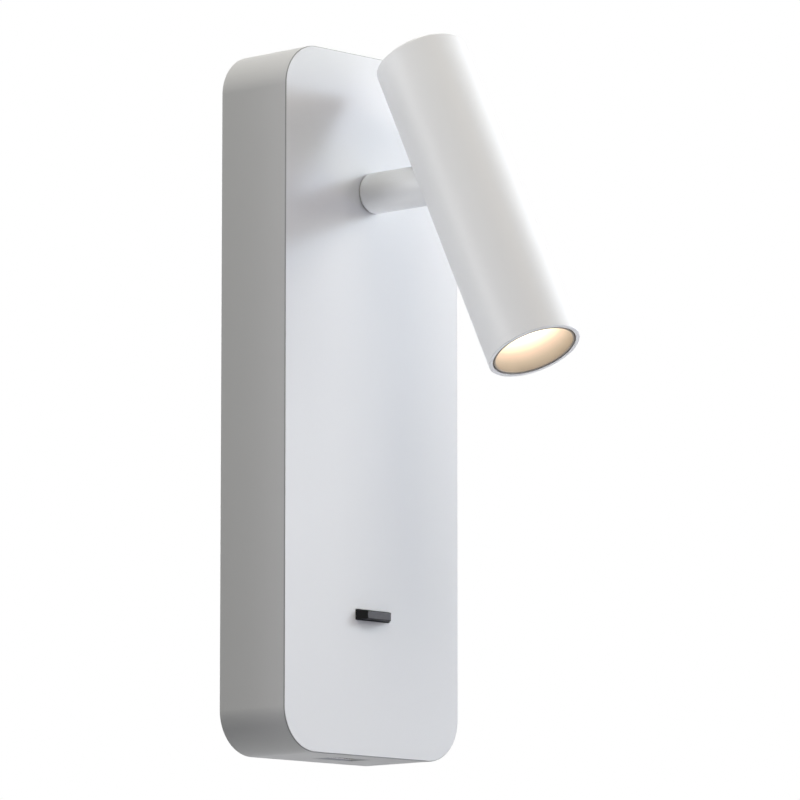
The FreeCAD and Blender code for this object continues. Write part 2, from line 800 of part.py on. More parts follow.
# The switch body behind the panel, open in front for the paddle's tail.
def switch_body():
    low_z = lever_z - switch_height / 2
    high_z = lever_z + switch_height / 2
    case = block(-switch_width / 2, switch_width / 2, inner_y, inner_y + switch_depth, low_z, high_z)
    case = case.makeFillet(switch_round, edges_along(case, axis_y))
    ear_y = inner_y + switch_boss_height
    half_span = switch_screw_x + boss_radius
    ears = block(-half_span, half_span, ear_y, ear_y + switch_ear_sheet,
                 lever_z - switch_ear_height / 2, lever_z + switch_ear_height / 2)
    ears = ears.makeFillet(boss_radius, edges_along(ears, axis_y))
    body = case.fuse(ears).removeSplitter()
    room = block(-lever_base_half - part_gap, lever_base_half + part_gap, inner_y - cut_overrun,
                 inner_y + switch_cavity_depth, lever_z - switch_cavity_half_height,
                 lever_z + switch_cavity_half_height)
    body = body.cut(room)
    for x, z, height in boss_places()["switch"]:
        body = body.cut(rod(screw_shank_radius + slip, vector(x, inner_y, z),
                            vector(x, ear_y + switch_ear_sheet + cut_overrun, z)))
    return body


def switch_tags():
    rear_y = inner_y + switch_depth
    tags = []
    for side in (-1, 1):
        x = side * spade_x
        tag = block(x - spade_sheet / 2, x + spade_sheet / 2, rear_y, rear_y + spade_length,
                    lever_z - spade_width / 2, lever_z + spade_width / 2)
        ends = [edge for edge in edges_along(tag, axis_x)
                if edge.CenterOfMass.y > rear_y + spade_length / 2]
        tags.append(tag.makeFillet(spade_width / 4, ends))
    return group(tags)


# The plastic surround of the charging port, clipped in from inside.
def port_surround():
    face_z = -plate_height / 2
    lip = port_slab(surround_width, surround_height, surround_corner, face_z, cavity_floor_z)
    flange = port_slab(surround_width + 2 * surround_flange, surround_height + 2 * surround_flange,
                       surround_corner + surround_flange, cavity_floor_z,
                       cavity_floor_z + surround_flange_thickness)
    ring = lip.fuse(flange).removeSplitter()
    hole_width = port_width + 2 * shell_wall + 2 * slip
    hole_height = port_height + 2 * shell_wall + 2 * slip
    ring = ring.cut(port_slab(hole_width, hole_height, surround_lead_in, face_z - cut_overrun,
                              cavity_floor_z + surround_flange_thickness + cut_overrun))
    wide = port_slab(hole_width + 2 * surround_lead_in, hole_height + 2 * surround_lead_in,
                     surround_lead_in, face_z - cut_overrun, face_z + surround_lead_in)
    return ring.cut(wide)


# The port's folded metal shell, closed at its inner end.
def port_shell():
    mouth_z = -plate_height / 2 + shell_recess
    outer = port_slab(port_width + 2 * shell_wall, port_height + 2 * shell_wall, shell_wall,
                      mouth_z, mouth_z + shell_length)
    inner = block(port_x - port_width / 2, port_x + port_width / 2,
                  port_y - port_height / 2, port_y + port_height / 2,
                  mouth_z - cut_overrun, mouth_z + shell_length - shell_wall)
    return outer.cut(inner)


# The port's tongue, on a foot that fills the shell's inner end.
def port_tongue():
    roof_z = -plate_height / 2 + shell_recess + shell_length - shell_wall
    foot_z = roof_z - (shell_length - shell_wall - shell_recess - tongue_length)
    tip_z = foot_z - tongue_length
    centre_y = port_y + tongue_offset
    tongue = block(port_x - tongue_width / 2, port_x + tongue_width / 2,
                   centre_y - tongue_thickness / 2, centre_y + tongue_thickness / 2, tip_z, roof_z)
    foot = block(port_x - port_width / 2 + slip, port_x + port_width / 2 - slip,
                 port_y - port_height / 2 + slip, port_y + port_height / 2 - slip, foot_z, roof_z)
    return tongue.fuse(foot).removeSplitter()


def port_contacts():
    roof_z = -plate_height / 2 + shell_recess + shell_length - shell_wall
    foot_z = roof_z - (shell_length - shell_wall - shell_recess - tongue_length)
    face_y = port_y + tongue_offset - tongue_thickness / 2
    contacts = []
    for place in contact_places_share:
        x = port_x + place * tongue_width
        contacts.append(block(x - contact_width / 2, x + contact_width / 2, face_y - contact_thickness,
                              face_y, foot_z - contact_length, foot_z))
    return group(contacts)


# The board that turns mains into the charging supply, on two long posts.
def supply_board():
    board = block(-board_width / 2, board_width / 2, board_front_y, board_front_y + board_thickness,
                  board_bottom_z, board_top_z)
    for x, z, height in boss_places()["board"]:
        board = board.cut(rod(screw_shank_radius + slip, vector(x, board_front_y - cut_overrun, z),
                              vector(x, board_front_y + board_thickness + cut_overrun, z)))
    return board


# The transformer: a wound core between two bobbin cheeks.
def supply_transformer():
    top_z = board_top_z - transformer_top_gap
    low_z = top_z - transformer_height
    cheek = transformer_height / 6
    rear_y = board_front_y
    front_face = rear_y - transformer_depth
    half = transformer_width / 2
    core = block(-half + cheek, half - cheek, front_face + cheek, rear_y, low_z + cheek, top_z - cheek)
    low_cheek = block(-half, half, front_face, rear_y, low_z, low_z + cheek)
    high_cheek = block(-half, half, front_face, rear_y, top_z - cheek, top_z)
    return core.fuse(low_cheek).fuse(high_cheek).removeSplitter()


def supply_capacitor():
    y = board_front_y + board_thickness + capacitor_radius
    z = board_bottom_z + capacitor_rise
    can = rod(capacitor_radius, vector(-capacitor_length / 2, y, z), vector(capacitor_length / 2, y, z))
    rims = [edge for edge in can.Edges if isinstance(edge.Curve, Part.Circle)]
    return can.makeFillet(capacitor_radius / 6, rims)


# The nylon bush that the arm turns in, flanged inside the front wall.
def swivel_bush():
    outline = [
        (spigot_radius + slip, 0),
        (bush_radius, 0),
        (bush_radius, front_wall + arm_shoulder_gap - seat_gap),
        (bush_flange_radius, front_wall + arm_shoulder_gap - seat_gap),
        (bush_flange_radius, front_wall + arm_shoulder_gap - seat_gap + bush_flange_thickness),
        (spigot_radius + slip, front_wall + arm_shoulder_gap - seat_gap + bush_flange_thickness),
    ]
    return aimed(turned(outline), vector(0, shoulder_y + seat_gap, arm_z), axis_y)


# The arm: a round bar with a spigot behind and a fork in front.
def arm():
    root_y = pivot_y + fork_root
    tip_y = pivot_y - fork_tip
    bar = rod(arm_radius, vector(0, shoulder_y, arm_z), vector(0, tip_y, arm_z))
    near = slip / 10
    rim = [edge for edge in bar.Edges if abs(edge.BoundBox.YMin - shoulder_y) < near]
    bar = bar.makeFillet(arm_shoulder_round, rim)
    flats = []
    for side in (-1, 1):
        x_ends = sorted((side * fork_outer_half, side * (arm_radius + cut_overrun)))
        flats.append(block(x_ends[0], x_ends[1], tip_y - cut_overrun, root_y,
                           arm_z - arm_radius - cut_overrun, arm_z + arm_radius + cut_overrun))
    slot = block(-fork_slot / 2, fork_slot / 2, tip_y - cut_overrun, root_y,
                 arm_z - arm_radius - cut_overrun, arm_z + arm_radius + cut_overrun)
    ends = block(-arm_radius - cut_overrun, arm_radius + cut_overrun, tip_y - cut_overrun, pivot_y,
                 arm_z - arm_radius - cut_overrun, arm_z + arm_radius + cut_overrun)
    round_end = rod(fork_tip, vector(-arm_radius - 2 * cut_overrun, pivot_y, arm_z),
                    vector(arm_radius + 2 * cut_overrun, pivot_y, arm_z))
    bar = bar.cut(flats[0]).cut(flats[1]).cut(slot).cut(ends.cut(round_end))
    bar = bar.cut(rod(pivot_bolt_radius + slip, vector(-arm_radius - cut_overrun, pivot_y, arm_z),
                      vector(arm_radius + cut_overrun, pivot_y, arm_z)))
    spigot = rod(spigot_radius, vector(0, shoulder_y, arm_z), vector(0, spigot_end_y, arm_z))
    keyed_y = stop_washer_y - seat_gap
    for side in (-1, 1):
        x_ends = sorted((side * spigot_flat, side * (spigot_radius + cut_overrun)))
        spigot = spigot.cut(block(x_ends[0], x_ends[1], keyed_y, lock_nut_y,
                                  arm_z - spigot_radius, arm_z + spigot_radius))
    whole = bar.fuse(spigot)
    return whole.cut(rod(arm_bore_radius, vector(0, spigot_end_y + cut_overrun, arm_z),
                         vector(0, root_y - cut_overrun, arm_z)))


# The washer that turns with the arm; its tab meets the post that limits the swivel.
def stop_washer():
    end_y = stop_washer_y + stop_washer_thickness
    disc = rod(stop_washer_radius, vector(0, stop_washer_y, arm_z), vector(0, end_y, arm_z))
    tab = block(-stop_tab_width / 2, stop_tab_width / 2, stop_washer_y, end_y,
                arm_z, arm_z + stop_tab_reach)
    hole = rod(spigot_radius + slip, vector(0, stop_washer_y - cut_overrun, arm_z),
               vector(0, end_y + cut_overrun, arm_z))
    half = spigot_flat + slip
    keyed = hole.common(block(-half, half, stop_washer_y - cut_overrun, end_y + cut_overrun,
                              arm_z - 2 * spigot_radius, arm_z + 2 * spigot_radius))
    return disc.fuse(tab).removeSplitter().cut(keyed)


# The springy washer that keeps the swivel stiff.
def wave_washer():
    return tube(wave_washer_radius, spigot_radius + slip, vector(0, wave_washer_y, arm_z),
                vector(0, wave_washer_y + wave_washer_thickness, arm_z))


def lock_nut():
    nut = hexagon(lock_nut_flat, vector(0, lock_nut_y, arm_z), axis_y, lock_nut_height)
    return nut.cut(rod(spigot_radius + slip, vector(0, lock_nut_y - cut_overrun, arm_z),
                       vector(0, lock_nut_y + lock_nut_height + cut_overrun, arm_z)))


# The bolt of the tilt knuckle, its head on the right.
def pivot_bolt():
    seat = fork_outer_half + seat_gap
    end = -seat - pivot_nut_height - bolt_end
    shank = rod(pivot_bolt_radius, vector(end, pivot_y, arm_z), vector(seat, pivot_y, arm_z))
    head = rod(bolt_head_radius, vector(seat, pivot_y, arm_z),
               vector(seat + bolt_head_height, pivot_y, arm_z))
    rim = [edge for edge in head.Edges if edge.BoundBox.XMin > seat + bolt_head_height / 2
           and isinstance(edge.Curve, Part.Circle)]
    head = head.makeFillet(bolt_head_height / 4, rim)
    socket = hexagon(bolt_socket_flat, vector(seat + bolt_head_height - bolt_socket_depth, pivot_y, arm_z),
                     axis_x, bolt_socket_depth + cut_overrun)
    return shank.fuse(head).removeSplitter().cut(socket)


def pivot_nut():
    start = -fork_outer_half - seat_gap - pivot_nut_height
    nut = hexagon(pivot_nut_flat, vector(start, pivot_y, arm_z), axis_x, pivot_nut_height)
    return nut.cut(rod(pivot_bolt_radius + slip, vector(start - cut_overrun, pivot_y, arm_z),
                       vector(start + pivot_nut_height + cut_overrun, pivot_y, arm_z)))


# The two fibre washers between the fork's ears and the lug.
def friction_washers():
    washers = []
    for side in (-1, 1):
        near_x = side * (lug_half + seat_gap)
        far_x = side * (lug_half + seat_gap + friction_washer_thickness)
        washers.append(tube(friction_washer_radius, pivot_bolt_radius + slip,
                            vector(near_x, pivot_y, arm_z), vector(far_x, pivot_y, arm_z)))
    return group(washers)


# Turns a head piece, made upright about the tilt axis at the origin, to its place.
def on_head(shape):
    placed = shape.copy()
    turn = FreeCAD.Placement(vector(0, pivot_y, arm_z), FreeCAD.Rotation(axis_x, -head_tilt))
    placed.Placement = turn.multiply(placed.Placement)
    return placed


# The slot in the back of the head tube that the arm swings in.
def head_slot():
    half_width = arm_radius + slot_gap
    lean = math.radians(head_tilt_most)
    low = -arm_radius - slot_gap
    high = head_radius * math.tan(lean) + arm_radius / math.cos(lean) + slot_gap
    slot = block(-half_width, half_width, 0, head_radius + cut_overrun, low, high)
    return slot.makeFillet(slot_round_share * half_width, edges_along(slot, axis_y))


def head_tube():
    outer = rod(head_radius, vector(0, 0, -head_mouth), vector(0, 0, head_top))
    near = slip / 10
    top_rim = [edge for edge in outer.Edges if edge.BoundBox.ZMin > head_top - near]
    outer = outer.makeFillet(head_top_round, top_rim)
    mouth_rim = [edge for edge in outer.Edges if edge.BoundBox.ZMax < -head_mouth + near]
    outer = outer.makeFillet(head_mouth_round, mouth_rim)
    bore = rod(head_bore, vector(0, 0, -head_mouth - cut_overrun), vector(0, 0, head_top + cut_overrun))
    shell = outer.cut(bore).cut(head_slot())
    screw_z = -carrier_top - carrier_thickness / 2
    shell = shell.cut(rod(carrier_screw_radius + slip, vector(0, 0, screw_z),
                          vector(0, head_radius + cut_overrun, screw_z)))
    return on_head(shell)


# The plug in the head's upper end.
def end_cap():
    radius = head_bore - slip
    outline = [
        (0, head_top),
        (radius, head_top),
        (radius, head_top - cap_skirt),
        (radius - cap_wall, head_top - cap_skirt),
        (radius - cap_wall, head_top - cap_thickness),
        (0, head_top - cap_thickness),
    ]
    return on_head(turned(outline))


# The disc across the tube, with the lug that the fork holds.
def tilt_carrier():
    disc = rod(head_bore - slip, vector(0, 0, -carrier_top - carrier_thickness),
               vector(0, 0, -carrier_top))
    lug = block(-lug_half, lug_half, -lug_radius, lug_radius, -carrier_top - carrier_thickness / 2, 0)
    crown = rod(lug_radius, vector(-lug_half, 0, 0), vector(lug_half, 0, 0))
    carrier = disc.fuse(lug).fuse(crown).removeSplitter()
    carrier = carrier.cut(rod(pivot_bolt_radius + slip, vector(-lug_half - cut_overrun, 0, 0),
                              vector(lug_half + cut_overrun, 0, 0)))
    low_z = -carrier_top - carrier_thickness - cut_overrun
    carrier = carrier.cut(rod(carrier_wire_radius, vector(0, -lead_orbit, low_z),
                              vector(0, -lead_orbit, -carrier_top + cut_overrun)))
    for side in (-1, 1):
        x = side * sink_screw_x
        carrier = carrier.cut(rod(screw_shank_radius + slip, vector(x, 0, low_z),
                                  vector(x, 0, -carrier_top + cut_overrun)))
    screw_z = -carrier_top - carrier_thickness / 2
    return on_head(carrier.cut(rod(carrier_screw_radius + slip,
                                   vector(0, head_radius - carrier_screw_length - slip, screw_z),
                                   vector(0, head_radius + cut_overrun, screw_z))))


# The grub screw at the back of the tube that holds the carrier.
def carrier_screw():
    screw_z = -carrier_top - carrier_thickness / 2
    end_y = head_radius - head_wall / 2
    screw = rod(carrier_screw_radius, vector(0, head_radius - carrier_screw_length, screw_z),
                vector(0, end_y, screw_z))
    socket = hexagon(2 * cover_screw_socket, vector(0, end_y - cover_screw_socket, screw_z), axis_y,
                     cover_screw_socket + cut_overrun)
    return on_head(screw.cut(socket))


# The turned heat sink: a core with plates at its ends and thin fins between.
def heat_sink():
    outline = [(0, -sink_start), (sink_radius, -sink_start)]
    level = sink_start + sink_top_plate
    pitch = (sink_length - sink_top_plate - sink_base_plate) / (sink_fins + 1)
    outline.append((sink_radius, -level))
    for fin in range(sink_fins):
        fin_top = level + pitch * (fin + 1) - sink_fin_thickness / 2
        outline.append((sink_core_radius, -level if fin == 0 else outline[-1][1]))
        outline.append((sink_core_radius, -fin_top))
        outline.append((sink_radius, -fin_top))
        outline.append((sink_radius, -fin_top - sink_fin_thickness))
    outline.append((sink_core_radius, outline[-1][1]))
    outline.append((sink_core_radius, -sink_end + sink_base_plate))
    outline.append((sink_radius, -sink_end + sink_base_plate))
    outline.append((sink_radius, -sink_end))
    outline.append((0, -sink_end))
    sink = turned(outline)
    sink = sink.cut(rod(carrier_wire_radius, vector(0, -lead_orbit, -sink_end - cut_overrun),
                        vector(0, -lead_orbit, -sink_start + cut_overrun)))
    for side in (-1, 1):
        x = side * sink_screw_x
        sink = sink.cut(rod(screw_shank_radius + slip, vector(x, 0, -sink_start - sink_top_plate),
                            vector(x, 0, -sink_start + cut_overrun)))
        x = side * led_board_screw_x
        sink = sink.cut(rod(led_board_screw_radius + slip, vector(x, 0, -sink_end - cut_overrun),
                            vector(x, 0, -sink_end + sink_base_plate)))
    return on_head(sink)


def heat_sink_screws():
    length = carrier_thickness + sink_gap + sink_top_plate - slip
    return group([on_head(aimed(pan_screw(length), vector(side * sink_screw_x, 0, -carrier_top), axis_z))
                  for side in (-1, 1)])


def led_board():
    board = rod(led_board_radius, vector(0, 0, -led_face), vector(0, 0, -sink_end))
    for side in (-1, 1):
        x = side * led_board_screw_x
        board = board.cut(rod(led_board_screw_radius + slip, vector(x, 0, -led_face - cut_overrun),
                              vector(x, 0, -sink_end + cut_overrun)))
    return on_head(board)


def led_board_screws():
    length = led_board_thickness + sink_base_plate - slip
    screw = pan_screw(length, led_board_screw_radius, led_board_head_radius, led_board_head_height)
    return group([on_head(aimed(screw, vector(side * led_board_screw_x, 0, -led_face), vector(0, 0, -1)))
                  for side in (-1, 1)])


# The LED: a square base with its round yellow face.
def led_chip():
    half = led_side / 2
    base = block(-half, half, -half, half, -led_face - led_base_height, -led_face)
    dome = rod(led_dome_radius, vector(0, 0, -led_face - led_base_height - led_dome_height),
               vector(0, 0, -led_face - led_base_height))
    return on_head(base.fuse(dome))


# The clear lens: a cone that gathers the light, with a flange in front.
def lens():
    outline = [
        (0, -optic_foot - optic_well_depth),
        (optic_well_radius, -optic_foot - optic_well_depth),
        (optic_well_radius, -optic_foot),
        (optic_foot_radius, -optic_foot),
        (optic_cone_radius, -optic_ledge),
        (optic_flange_radius, -optic_ledge),
        (optic_flange_radius, -optic_front),
        (0, -optic_front),
    ]
    return on_head(turned(outline))


# The ring that stands on the board and carries the lens by its flange.
def lens_holder():
    slope = (optic_cone_radius - optic_foot_radius) / optic_cone_length
    throat_z = optic_foot + (holder_throat_radius - part_gap - optic_foot_radius) / slope
    ledge_z = optic_ledge - seat_gap
    foot_z = led_face + seat_gap
    outline = [
        (holder_radius, -foot_z - led_board_head_height),
        (holder_radius, -optic_front),
        (optic_flange_radius + slip, -optic_front),
        (optic_flange_radius + slip, -ledge_z),
        (optic_cone_radius + part_gap, -ledge_z),
        (holder_throat_radius, -throat_z),
        (holder_throat_radius, -foot_z),
        (led_board_screw_x - led_board_head_radius - part_gap, -foot_z),
        (led_board_screw_x - led_board_head_radius - part_gap, -foot_z - led_board_head_height),
    ]
    return on_head(turned(outline))


# The cone in the head's mouth: a thin turned funnel, seated at its inner end.
def mouth_cone():
    mouth = head_mouth - baffle_recess
    seat = optic_front + seat_gap
    slope = (baffle_mouth_radius - baffle_throat_radius) / (mouth - seat)
    rim_back = mouth - baffle_rim_length
    seat_front = seat + baffle_seat_length
    back_radius = baffle_throat_radius + slope * (seat_front - seat) + baffle_wall
    outline = [
        (baffle_throat_radius, -seat),
        (head_bore - slip, -seat),
        (head_bore - slip, -seat_front),
        (back_radius, -seat_front),
        (baffle_rim_radius, -rim_back),
        (baffle_rim_radius, -mouth),
        (baffle_mouth_radius, -mouth),
    ]
    return on_head(turned(outline))


# The driver's two supply leads: neutral from the terminal block, and live from the switch.
def supply_leads():
    driver_low = driver_centre_z - driver_height / 2
    block_top = block_centre_z + block_height / 2
    jog = (driver_low - block_top) / 3
    neutral = lead(lead_radius, [
        vector(block_pitch, lead_entry_y, block_top - block_entry_depth / 2),
        vector(block_pitch, lead_entry_y, block_top + jog),
        vector(block_pitch + jog, lead_entry_y, driver_low - jog),
        vector(block_pitch + jog, lead_entry_y, driver_low),
    ], lead_bend / 2)
    side_x = -(block_width + driver_width) / 4
    tag_top = lever_z + spade_width / 2
    live = lead(lead_radius, [
        vector(-spade_x, lead_rear_y, tag_top),
        vector(-spade_x, lead_rear_y, (tag_top + cable_entry_z) / 2),
        vector(side_x, lead_rear_y, (lead_turn_z + cable_entry_z) / 2),
        vector(side_x, lead_rear_y, block_top),
        vector(side_x, (lead_rear_y + lead_entry_y) / 2, driver_low - jog),
        vector(side_x, (lead_rear_y + lead_entry_y) / 2, driver_low),
    ], lead_bend)
    return group([neutral, live])


# Two leads from the driver up to the arm's bore.
def driver_leads():
    driver_high = driver_centre_z + driver_height / 2
    leads = []
    for side in (-1, 1):
        x = side * arm_lead_x
        leads.append(lead(fine_lead_radius, [
            vector(x, arm_lead_y, driver_high),
            vector(x, arm_lead_y, arm_z),
            vector(x, spigot_end_y, arm_z),
        ], lead_bend))
    return group(leads)


# Two straight leads inside the arm's bore.
def arm_leads():
    leads = []
    for side in (-1, 1):
        x = side * arm_lead_x
        leads.append(rod(fine_lead_radius, vector(x, spigot_end_y - part_gap, arm_z),
                         vector(x, pivot_y + fork_root, arm_z)))
    return group(leads)


# Two leads that loop over the lug and run down to the LED board.
def head_leads():
    leads = []
    start_angle = math.radians(head_tilt)
    for side in (-1, 1):
        x = side * fine_lead_x
        start = vector(x, lead_orbit * math.cos(start_angle), lead_orbit * math.sin(start_angle))
        crest = vector(x, 0, lead_orbit)
        end = vector(x, -lead_orbit, 0)
        over = Part.Arc(start, crest, end).toShape()
        down = Part.LineSegment(end, vector(x, -lead_orbit, -sink_end)).toShape()
        way = vector(0, -math.sin(start_angle), math.cos(start_angle))
        ring = Part.Wire(Part.makeCircle(fine_lead_radius, start, way))
        leads.append(on_head(Part.Wire([over, down]).makePipeShell([ring], True, False)))
    return group(leads)


# The live lead from the terminal block down to the switch.
def switch_lead():
    entry_z = block_centre_z - block_height / 2 + block_entry_depth / 2
    tag_top = lever_z + spade_width / 2
    return lead(lead_radius, [
        vector(0, lead_entry_y, entry_z),
        vector(0, lead_entry_y, lead_turn_z),
        vector(spade_x, lead_rear_y, (lead_turn_z + tag_top) / 2),
        vector(spade_x, lead_rear_y, tag_top),
    ], lead_bend)


# The earth lead, from the terminal block to the barrel of the earth tag.
def earth_lead():
    entry_z = block_centre_z - block_height / 2 + block_entry_depth / 2
    barrel_y = inner_y + earth_boss_height + tag_barrel_radius
    barrel_top = earth_z + tag_radius + tag_barrel_length
    return lead(lead_radius, [
        vector(-block_pitch, lead_entry_y, entry_z),
        vector(-block_pitch, lead_entry_y, (entry_z + lead_turn_z) / 2),
        vector(earth_x, barrel_y, (2 * barrel_top + lead_turn_z) / 3),
        vector(earth_x, barrel_y, barrel_top),
    ], lead_bend)


# The lead from the terminal block to the charging supply's board.
def charging_lead():
    entry_z = block_centre_z - block_height / 2 + block_entry_depth / 2
    x = block_pitch
    board_y = board_front_y + board_thickness / 2
    below_switch = lever_z - switch_height / 4
    return lead(lead_radius, [
        vector(x, lead_entry_y, entry_z),
        vector(x, lead_entry_y, lead_turn_z),
        vector(x, lead_rear_y, (lead_turn_z + lever_z) / 2),
        vector(x, lead_rear_y, below_switch),
        vector(x / 2, board_y, (below_switch + board_top_z) / 2),
        vector(x / 2, board_y, board_top_z),
    ], lead_bend)


def build():
    return {
        "base_housing": base_housing(),
        "wall_bracket": wall_bracket(),
        "cover_screws": cover_screws(),
        "cable_grommet": cable_grommet(),
        "cable_clamp": cable_clamp(),
        "cable_clamp_screws": cable_clamp_screws(),
        "led_driver": led_driver(),
        "driver_screws": post_screws("driver", driver_ear_sheet),
        "terminal_block": terminal_block(),
        "terminal_screws": terminal_screws(),
        "block_screws": block_screws(),
        "earth_tag": earth_tag(),
        "earth_screw": post_screws("earth", tag_sheet),
        "switch_lever": switch_lever(),
        "switch_body": switch_body(),
        "switch_tags": switch_tags(),
        "switch_screws": post_screws("switch", switch_ear_sheet),
        "port_surround": port_surround(),
        "port_shell": port_shell(),
        "port_tongue": port_tongue(),
        "port_contacts": port_contacts(),
        "supply_board": supply_board(),
        "supply_transformer": supply_transformer(),
        "supply_capacitor": supply_capacitor(),
        "board_screws": post_screws("board", board_thickness),
        "swivel_bush": swivel_bush(),
        "arm": arm(),
        "stop_washer": stop_washer(),
        "wave_washer": wave_washer(),
        "lock_nut": lock_nut(),
        "pivot_bolt": pivot_bolt(),
        "pivot_nut": pivot_nut(),
        "friction_washers": friction_washers(),
        "head_tube": head_tube(),
        "end_cap": end_cap(),
        "tilt_carrier": tilt_carrier(),
        "carrier_screw": carrier_screw(),
        "heat_sink": heat_sink(),
        "heat_sink_screws": heat_sink_screws(),
        "led_board": led_board(),
        "led_board_screws": led_board_screws(),
        "led_chip": led_chip(),
        "lens": lens(),
        "lens_holder": lens_holder(),
        "mouth_cone": mouth_cone(),
        "supply_leads": supply_leads(),
        "driver_leads": driver_leads(),
        "arm_leads": arm_leads(),
        "head_leads": head_leads(),
        "switch_lead": switch_lead(),
        "earth_lead": earth_lead(),
        "charging_lead": charging_lead(),
    }


os.makedirs("parts", exist_ok=True)
for node, shape in build().items():
    shape.exportStep("parts/" + node + ".step")
    print(node, len(shape.Solids), "solids", round(shape.Volume), "mm3", shape.isValid())
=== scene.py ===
import bpy
import bmesh
import json
import math
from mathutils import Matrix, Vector


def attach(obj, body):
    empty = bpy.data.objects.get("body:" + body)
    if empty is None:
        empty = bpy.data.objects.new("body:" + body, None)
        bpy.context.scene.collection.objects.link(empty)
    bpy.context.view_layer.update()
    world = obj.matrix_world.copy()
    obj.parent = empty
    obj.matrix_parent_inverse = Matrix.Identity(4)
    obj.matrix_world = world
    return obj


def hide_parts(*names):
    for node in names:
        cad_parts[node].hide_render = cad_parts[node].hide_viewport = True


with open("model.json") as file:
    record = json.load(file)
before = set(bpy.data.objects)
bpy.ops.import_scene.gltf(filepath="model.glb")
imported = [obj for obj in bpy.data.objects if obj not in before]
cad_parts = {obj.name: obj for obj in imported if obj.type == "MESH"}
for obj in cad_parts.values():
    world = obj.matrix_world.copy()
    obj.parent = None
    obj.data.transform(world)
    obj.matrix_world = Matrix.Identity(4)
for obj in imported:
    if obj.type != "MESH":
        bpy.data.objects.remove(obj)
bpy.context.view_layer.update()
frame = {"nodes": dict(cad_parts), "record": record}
scene = bpy.context.scene
scene.view_settings.view_transform = "Standard"
print("frame loaded:", len(frame["nodes"]), "nodes")


# camera: a long lens from the left and a little below

camera = {
    "place": (-1.23379, -1.20673, -0.23821), "turn": (97.988, 0.0, -46.558),
    "lens": 258.29, "sensor": 36.0,
}
camData = bpy.data.cameras.new("camera")
camData.lens = camera["lens"]
camData.sensor_width = camera["sensor"]
camObject = bpy.data.objects.new("camera", camData)
camObject.location = camera["place"]
camObject.rotation_euler = [math.radians(a) for a in camera["turn"]]
scene.collection.objects.link(camObject)
scene.camera = camObject


# modelling helpers
# tiny: how near counts as touching; over: how far a cutting tool runs past a face

tiny, over = 1e-6, 0.001
sides = (-1, 1)


def only(obj):
    # leaves one object selected and active
    bpy.ops.object.select_all(action="DESELECT")
    obj.select_set(True)
    bpy.context.view_layer.objects.active = obj


def active(name):
    # names the object that an operator has just added
    obj = bpy.context.view_layer.objects.active
    obj.name = name
    obj.data.name = name
    return obj


def settle(obj):
    # the object's place and turn go into its mesh
    only(obj)
    bpy.ops.object.transform_apply(location=True, rotation=True, scale=True)
    return obj


def addBox(name, near, far):
    # a box between two opposite corners, in either order
    bpy.ops.object.select_all(action="DESELECT")
    bpy.ops.mesh.primitive_cube_add(size=1, location=[(a + b) / 2 for a, b in zip(near, far)])
    obj = active(name)
    obj.scale = [abs(b - a) for a, b in zip(near, far)]
    return settle(obj)


def boxAt(name, x, z, wide, tall, low, high):
    # a box about a point of the front view, by half width and half height, between two depths
    return addBox(name, (x - wide, low, z - tall), (x + wide, high, z + tall))


def addRod(name, radius, start, end, corners=48):
    # a round bar between two points, at its size and place
    bpy.ops.object.select_all(action="DESELECT")
    a, b = Vector(start), Vector(end)
    bpy.ops.mesh.primitive_cylinder_add(vertices=corners, radius=radius, depth=(b - a).length, location=(a + b) / 2)
    obj = active(name)
    obj.rotation_euler = (b - a).to_track_quat("Z", "Y").to_euler()
    return settle(obj)


def rodAt(name, radius, x, z, low, high, corners=32):
    # a rod through a point of the front view, between two depths
    return addRod(name, radius, (x, low, z), (x, high, z), corners)


def crossRod(name, radius, half, y, z, corners):
    # a rod along X, by its half length
    return addRod(name, radius, (-half, y, z), (half, y, z), corners)


def addHex(name, flat, low, high):
    # a hexagonal bar along Z, by its width across flats
    bpy.ops.object.select_all(action="DESELECT")
    bpy.ops.mesh.primitive_cylinder_add(vertices=6, radius=flat / 2 / math.cos(math.radians(30)),
                                        depth=high - low, location=(0, 0, (low + high) / 2))
    return settle(active(name))


def pick(obj, test, kind="EDGE"):
    # in edit mode, selects the faces, edges or corners whose place passes the test
    bpy.ops.mesh.select_mode(type=kind)
    bpy.ops.mesh.select_all(action="DESELECT")
    mesh = bmesh.from_edit_mesh(obj.data)
    if kind == "VERT":
        for v in mesh.verts:
            v.select_set(test(v.co))
    elif kind == "EDGE":
        for e in mesh.edges:
            e.select_set(test(e.verts[0].co, e.verts[1].co))
    else:
        for f in mesh.faces:
            f.select_set(test(f.calc_center_median(), f.normal))
    mesh.select_flush_mode()
    bmesh.update_edit_mesh(obj.data)


def edit(obj, test, kind="EDGE"):
    # opens the piece with what passes the test selected, until shut()
    only(obj)
    bpy.ops.object.mode_set(mode="EDIT")
    pick(obj, test, kind)


def shut():
    bpy.ops.object.mode_set(mode="OBJECT")


def bevel(width, steps, **more):
    bpy.ops.mesh.bevel(offset=width, segments=steps, affect="EDGES", **more)


def push(way):
    bpy.ops.mesh.extrude_region_move(TRANSFORM_OT_translate={"value": way})


def resize(share, middle):
    bpy.ops.transform.resize(value=share, center_override=middle)


# tests for pick: edges along an axis, above or below a level on it, and faces that look its way

def along(axis, least):
    return lambda a, b: abs(getattr(a, axis) - getattr(b, axis)) > least


def above(axis, level):
    return lambda a, b: min(getattr(a, axis), getattr(b, axis)) > level


def below(axis, level):
    return lambda a, b: max(getattr(a, axis), getattr(b, axis)) < level


def facing(axis, way):
    return lambda c, n: getattr(n, axis) * way > 0.9


def soften(obj, test, width, steps=3):
    # rounds the edges that pass the test
    edit(obj, test)
    bevel(width, steps, clamp_overlap=True)
    shut()


